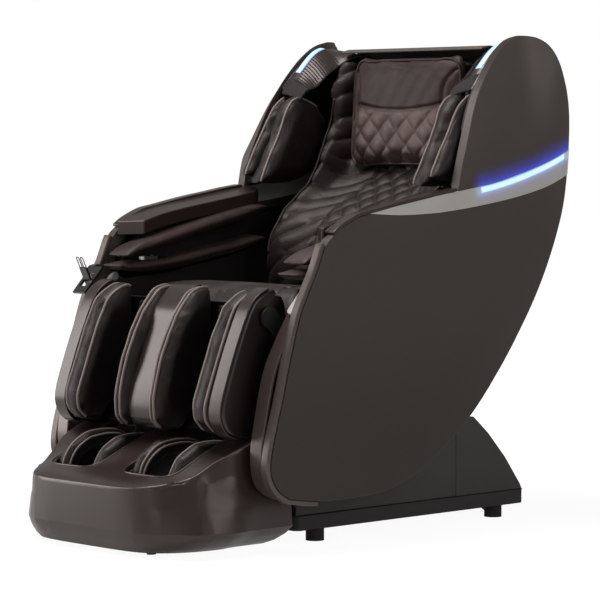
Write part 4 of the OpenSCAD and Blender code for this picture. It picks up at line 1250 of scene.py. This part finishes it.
class CHAIR_OT_shoulder_pads(ChairStep):
    """Shoulder air-bag pads with piped edges"""

    bl_idname = "chair.shoulder_pads"
    bl_label = "Shoulder pads"

    def make(self):
        parts = [(centre(part), part) for part in islands(cad_mesh("shoulder_pads_left"))]
        parts.sort(key=lambda m: m[0].x)
        for side, mirror in SIDES:
            pads = []
            for i, (middle, part) in enumerate(parts):
                bm = part.copy()
                shrink(bm, middle, 0.98)
                if mirror < 0:
                    reshape(bm, lambda p: Vector((-p.x, p.y, p.z)))
                    bmesh.ops.reverse_faces(bm, faces=bm.faces)
                ob = cushion(f"shoulder_pad_{side}_{i}", bm, 0.006, 0.006, 2.5)
                carve(ob, lambda p, n: (0.0006 * math.sin(p.z * 90 + p.y * 60), 0.0))
                for v in ob.data.vertices:
                    v.co = leaned(v.co)
                dress(ob, "pad", "cradle", ("shoulder_pads_" + side,))
                pads.append(ob)
            tree = surface_tree(*pads)
            seams = ((270, SHOULDER_IN), (330, SHOULDER_OUT))
            lines = [seam_line(tree, mirror * x, path) for x, path in seams]
            tube("shoulder_piping_" + side, lines, 0.003, "piping", "cradle", twist=0.008)


class CHAIR_OT_calf_shell(ChairStep):
    """Legrest shell with rounded side walls"""

    bl_idname = "chair.calf_shell"
    bl_label = "Calf shell"

    def make(self):
        bm = cad_mesh("calf_shell", 1.0)
        pivot_y, pivot_z = -0.315, 0.540
        soften_rims(bm, 0.010, 4, 50.0, lambda e: all(
            abs(v.co.x) > 0.2995 and v.co.y < -0.28
            and math.hypot(v.co.y - pivot_y, v.co.z - pivot_z) > 0.012 for v in e.verts))
        skin("calf_shell", bm, "wall", sharp=36.0)


class CHAIR_OT_calf_pads(ChairStep):
    """Calf air-bag cushions with twisted piping"""

    bl_idname = "chair.calf_pads"
    bl_label = "Calf pads"

    def make(self):
        pads = cushion_set("calf_pads", "calf_pad", "legrest", "pad", 0.006, 0.0065, 0.985)
        tree = surface_tree(*pads)
        seams = ((72, CENTRE_PIPE), (48, CENTRE_PIPE), (203, WALL_PIPE), (256, WALL_PIPE))
        lines = [seam_line(tree, s * x, path) for s in (-1, 1) for x, path in seams]
        tube("calf_piping", lines, sizes().piping, "piping", "legrest", twist=0.008)


class CHAIR_OT_foot_pads(ChairStep):
    """Foot cushions in the wells"""

    bl_idname = "chair.foot_pads"
    bl_label = "Foot pads"

    def make(self):
        pads = cushion_set("foot_pads", "foot_pad", "foot_unit", "pad", 0.004, 0.005, 0.98)
        tree = surface_tree(*pads)
        lines = [seam_line(tree, s * x, FOOT_PIPE) for s in (-1, 1) for x in (80, 104, 170, 196)]
        tube("foot_piping", lines, 0.0028, "piping", "foot_unit", twist=0.008)


class CHAIR_OT_arm_pads(ChairStep):
    """Arm pads: smooth tops over ribbed sides"""

    bl_idname = "chair.arm_pads"
    bl_label = "Arm pads"

    def make(self):
        for node in ("arm_pads_upper", "arm_pads_lower"):
            # The second value is painted shade in the grooves between the ribs.
            def ribs(p, n):
                low = clamp((0.35 - n.z) / 0.4)
                rib = abs(math.sin(math.pi * p.y / 0.0075))
                rest = 0.004 * ease(n.z, 0.3, 0.8) * (1 - ease(abs(p.y + 0.15), 0.035, 0.05))
                rest *= (1 - ease(abs(p.x - 0.316), 0.018, 0.028)) * (node == "arm_pads_lower")
                return (0.0012 * rib ** 0.6 - 0.0008) * low - rest, 0.5 * low * valley(rib, 0.4)
            cushion_set(node, node, "cradle", "arm", 0.004, 0.0045, 0.98, ribs)


# ---- Stage ----

def aim(ob, place, back, across):
    """Stands a camera or a lamp at a place, looking away from back."""
    turn = Matrix((across, back.cross(across), back)).transposed()
    ob.matrix_world = Matrix.Translation(place) @ turn.to_4x4()


def seen(g, mirrored):
    """Full for the camera's own rays, and in part for mirrored ones."""
    path = g.add("ShaderNodeLightPath").outputs
    return g.math("MAXIMUM", path["Is Camera Ray"], g.times(path["Is Glossy Ray"], mirrored))


def lamp(name, place, target, width, height, power):
    data = bpy.data.lights.new(name, "AREA")
    data.shape = "RECTANGLE"
    data.size, data.size_y = width, height
    data.energy = power
    back = (Vector(place) - Vector(target)).normalized()
    aim(placed(name, data), place, back, Vector((0, 0, 1)).cross(back).normalized())


class CHAIR_OT_stage(ChairStep):
    """White ground, studio lights and the camera"""

    bl_idname = "chair.stage"
    bl_label = "Stage"

    def make(self):
        self.camera()
        self.studio()
        self.ground()
        lamp("left_strip", (-3.5, -2.7, 1.5), (0, -0.2, 0.6), 1.0, 3.4, 84)
        lamp("top", (-0.3, -0.9, 3.7), (0, 0.0, 0.6), 2.4, 1.8, 112)
        lamp("side", (4.8, 0.4, 2.4), (0, 0.1, 0.6), 2.2, 2.2, 31)
        lamp("front_fill", (1.6, -5.2, 1.4), (0, 0, 0.5), 1.6, 1.6, 14)

    def camera(self):
        scene = bpy.context.scene
        scene.view_settings.view_transform = "Standard"
        turn, tip = math.radians(46.713), math.radians(3.265)
        back = Vector((math.sin(turn) * math.cos(tip), -math.cos(turn) * math.cos(tip), math.sin(tip)))
        camera = placed("camera", bpy.data.cameras.new("camera"))
        camera.data.lens = 171.96
        camera.data.sensor_width = 36
        camera.data.clip_end = 60
        aim(camera, (5.122, -4.753, 0.954), back, Vector((math.cos(turn), math.sin(turn), 0)))
        scene.camera = camera

    def studio(self):
        world = bpy.data.worlds.new("studio")
        world.use_nodes = True
        bpy.context.scene.world = world
        g = Graph(world.node_tree)
        shade = world.node_tree.nodes["Background"].inputs
        shade["Color"].default_value = (1, 1, 1, 1)
        g.set(shade["Strength"], g.math("MULTIPLY_ADD", seen(g, 0.22), 0.86, 0.14))

    def ground(self):
        bm = bmesh.new()
        bmesh.ops.create_grid(bm, x_segments=2, y_segments=2, size=20.0)
        floor = linked("studio_floor", bm)
        mat = bpy.data.materials.new("studio_floor")
        mat.use_nodes = True
        nodes = mat.node_tree.nodes
        nodes.remove(nodes["Principled BSDF"])
        g = Graph(mat.node_tree)
        grey = g.add("ShaderNodeBsdfDiffuse", {"Color": (0.8, 0.8, 0.8, 1)})
        away = g.add("ShaderNodeVectorMath", {0: g.place()}, operation="LENGTH").outputs["Value"]
        strength = g.spread(away, 0.9, 2.4, 1.10, 1.25)
        white = g.add("ShaderNodeEmission", {"Color": (1, 1, 1, 1), "Strength": strength})
        blend = {0: g.times(seen(g, 0.4), 0.86), 1: grey.outputs[0], 2: white.outputs[0]}
        g.set(nodes["Material Output"].inputs["Surface"], g.add("ShaderNodeMixShader", blend).outputs[0])
        floor.data.materials.append(mat)


STEPS = (
    CHAIR_OT_stage, CHAIR_OT_finishes, CHAIR_OT_side_panels, CHAIR_OT_trims, CHAIR_OT_hoods,
    CHAIR_OT_foot_shell, CHAIR_OT_pillow, CHAIR_OT_back_pad, CHAIR_OT_seat_pad, CHAIR_OT_shoulder_pads,
    CHAIR_OT_calf_shell, CHAIR_OT_calf_pads, CHAIR_OT_foot_pads, CHAIR_OT_arm_pads,
)


class CHAIR_PT_panel(bpy.types.Panel):
    """Lists the builder's steps"""

    bl_idname = "CHAIR_PT_panel"
    bl_label = "Massage chair"
    bl_space_type = "VIEW_3D"
    bl_region_type = "UI"
    bl_category = "Massage chair"

    def draw(self, context):
        for step in STEPS:
            self.layout.operator(step.bl_idname)
        for group in (context.scene.chair_sizes, context.scene.chair_colours):
            for name in group.__annotations__:
                self.layout.prop(group, name)


CLASSES = (ChairSizes, ChairColours, *STEPS, CHAIR_PT_panel)


def register():
    for cls in CLASSES:
        bpy.utils.register_class(cls)
    bpy.types.Scene.chair_sizes = PointerProperty(type=ChairSizes)
    bpy.types.Scene.chair_colours = PointerProperty(type=ChairColours)


def unregister():
    del bpy.types.Scene.chair_colours
    del bpy.types.Scene.chair_sizes
    for cls in reversed(CLASSES):
        bpy.utils.unregister_class(cls)


def main():
    register()
    for step in STEPS:
        area, name = step.bl_idname.split(".")
        getattr(getattr(bpy.ops, area), name)()


if __name__ == "__main__":
    main()
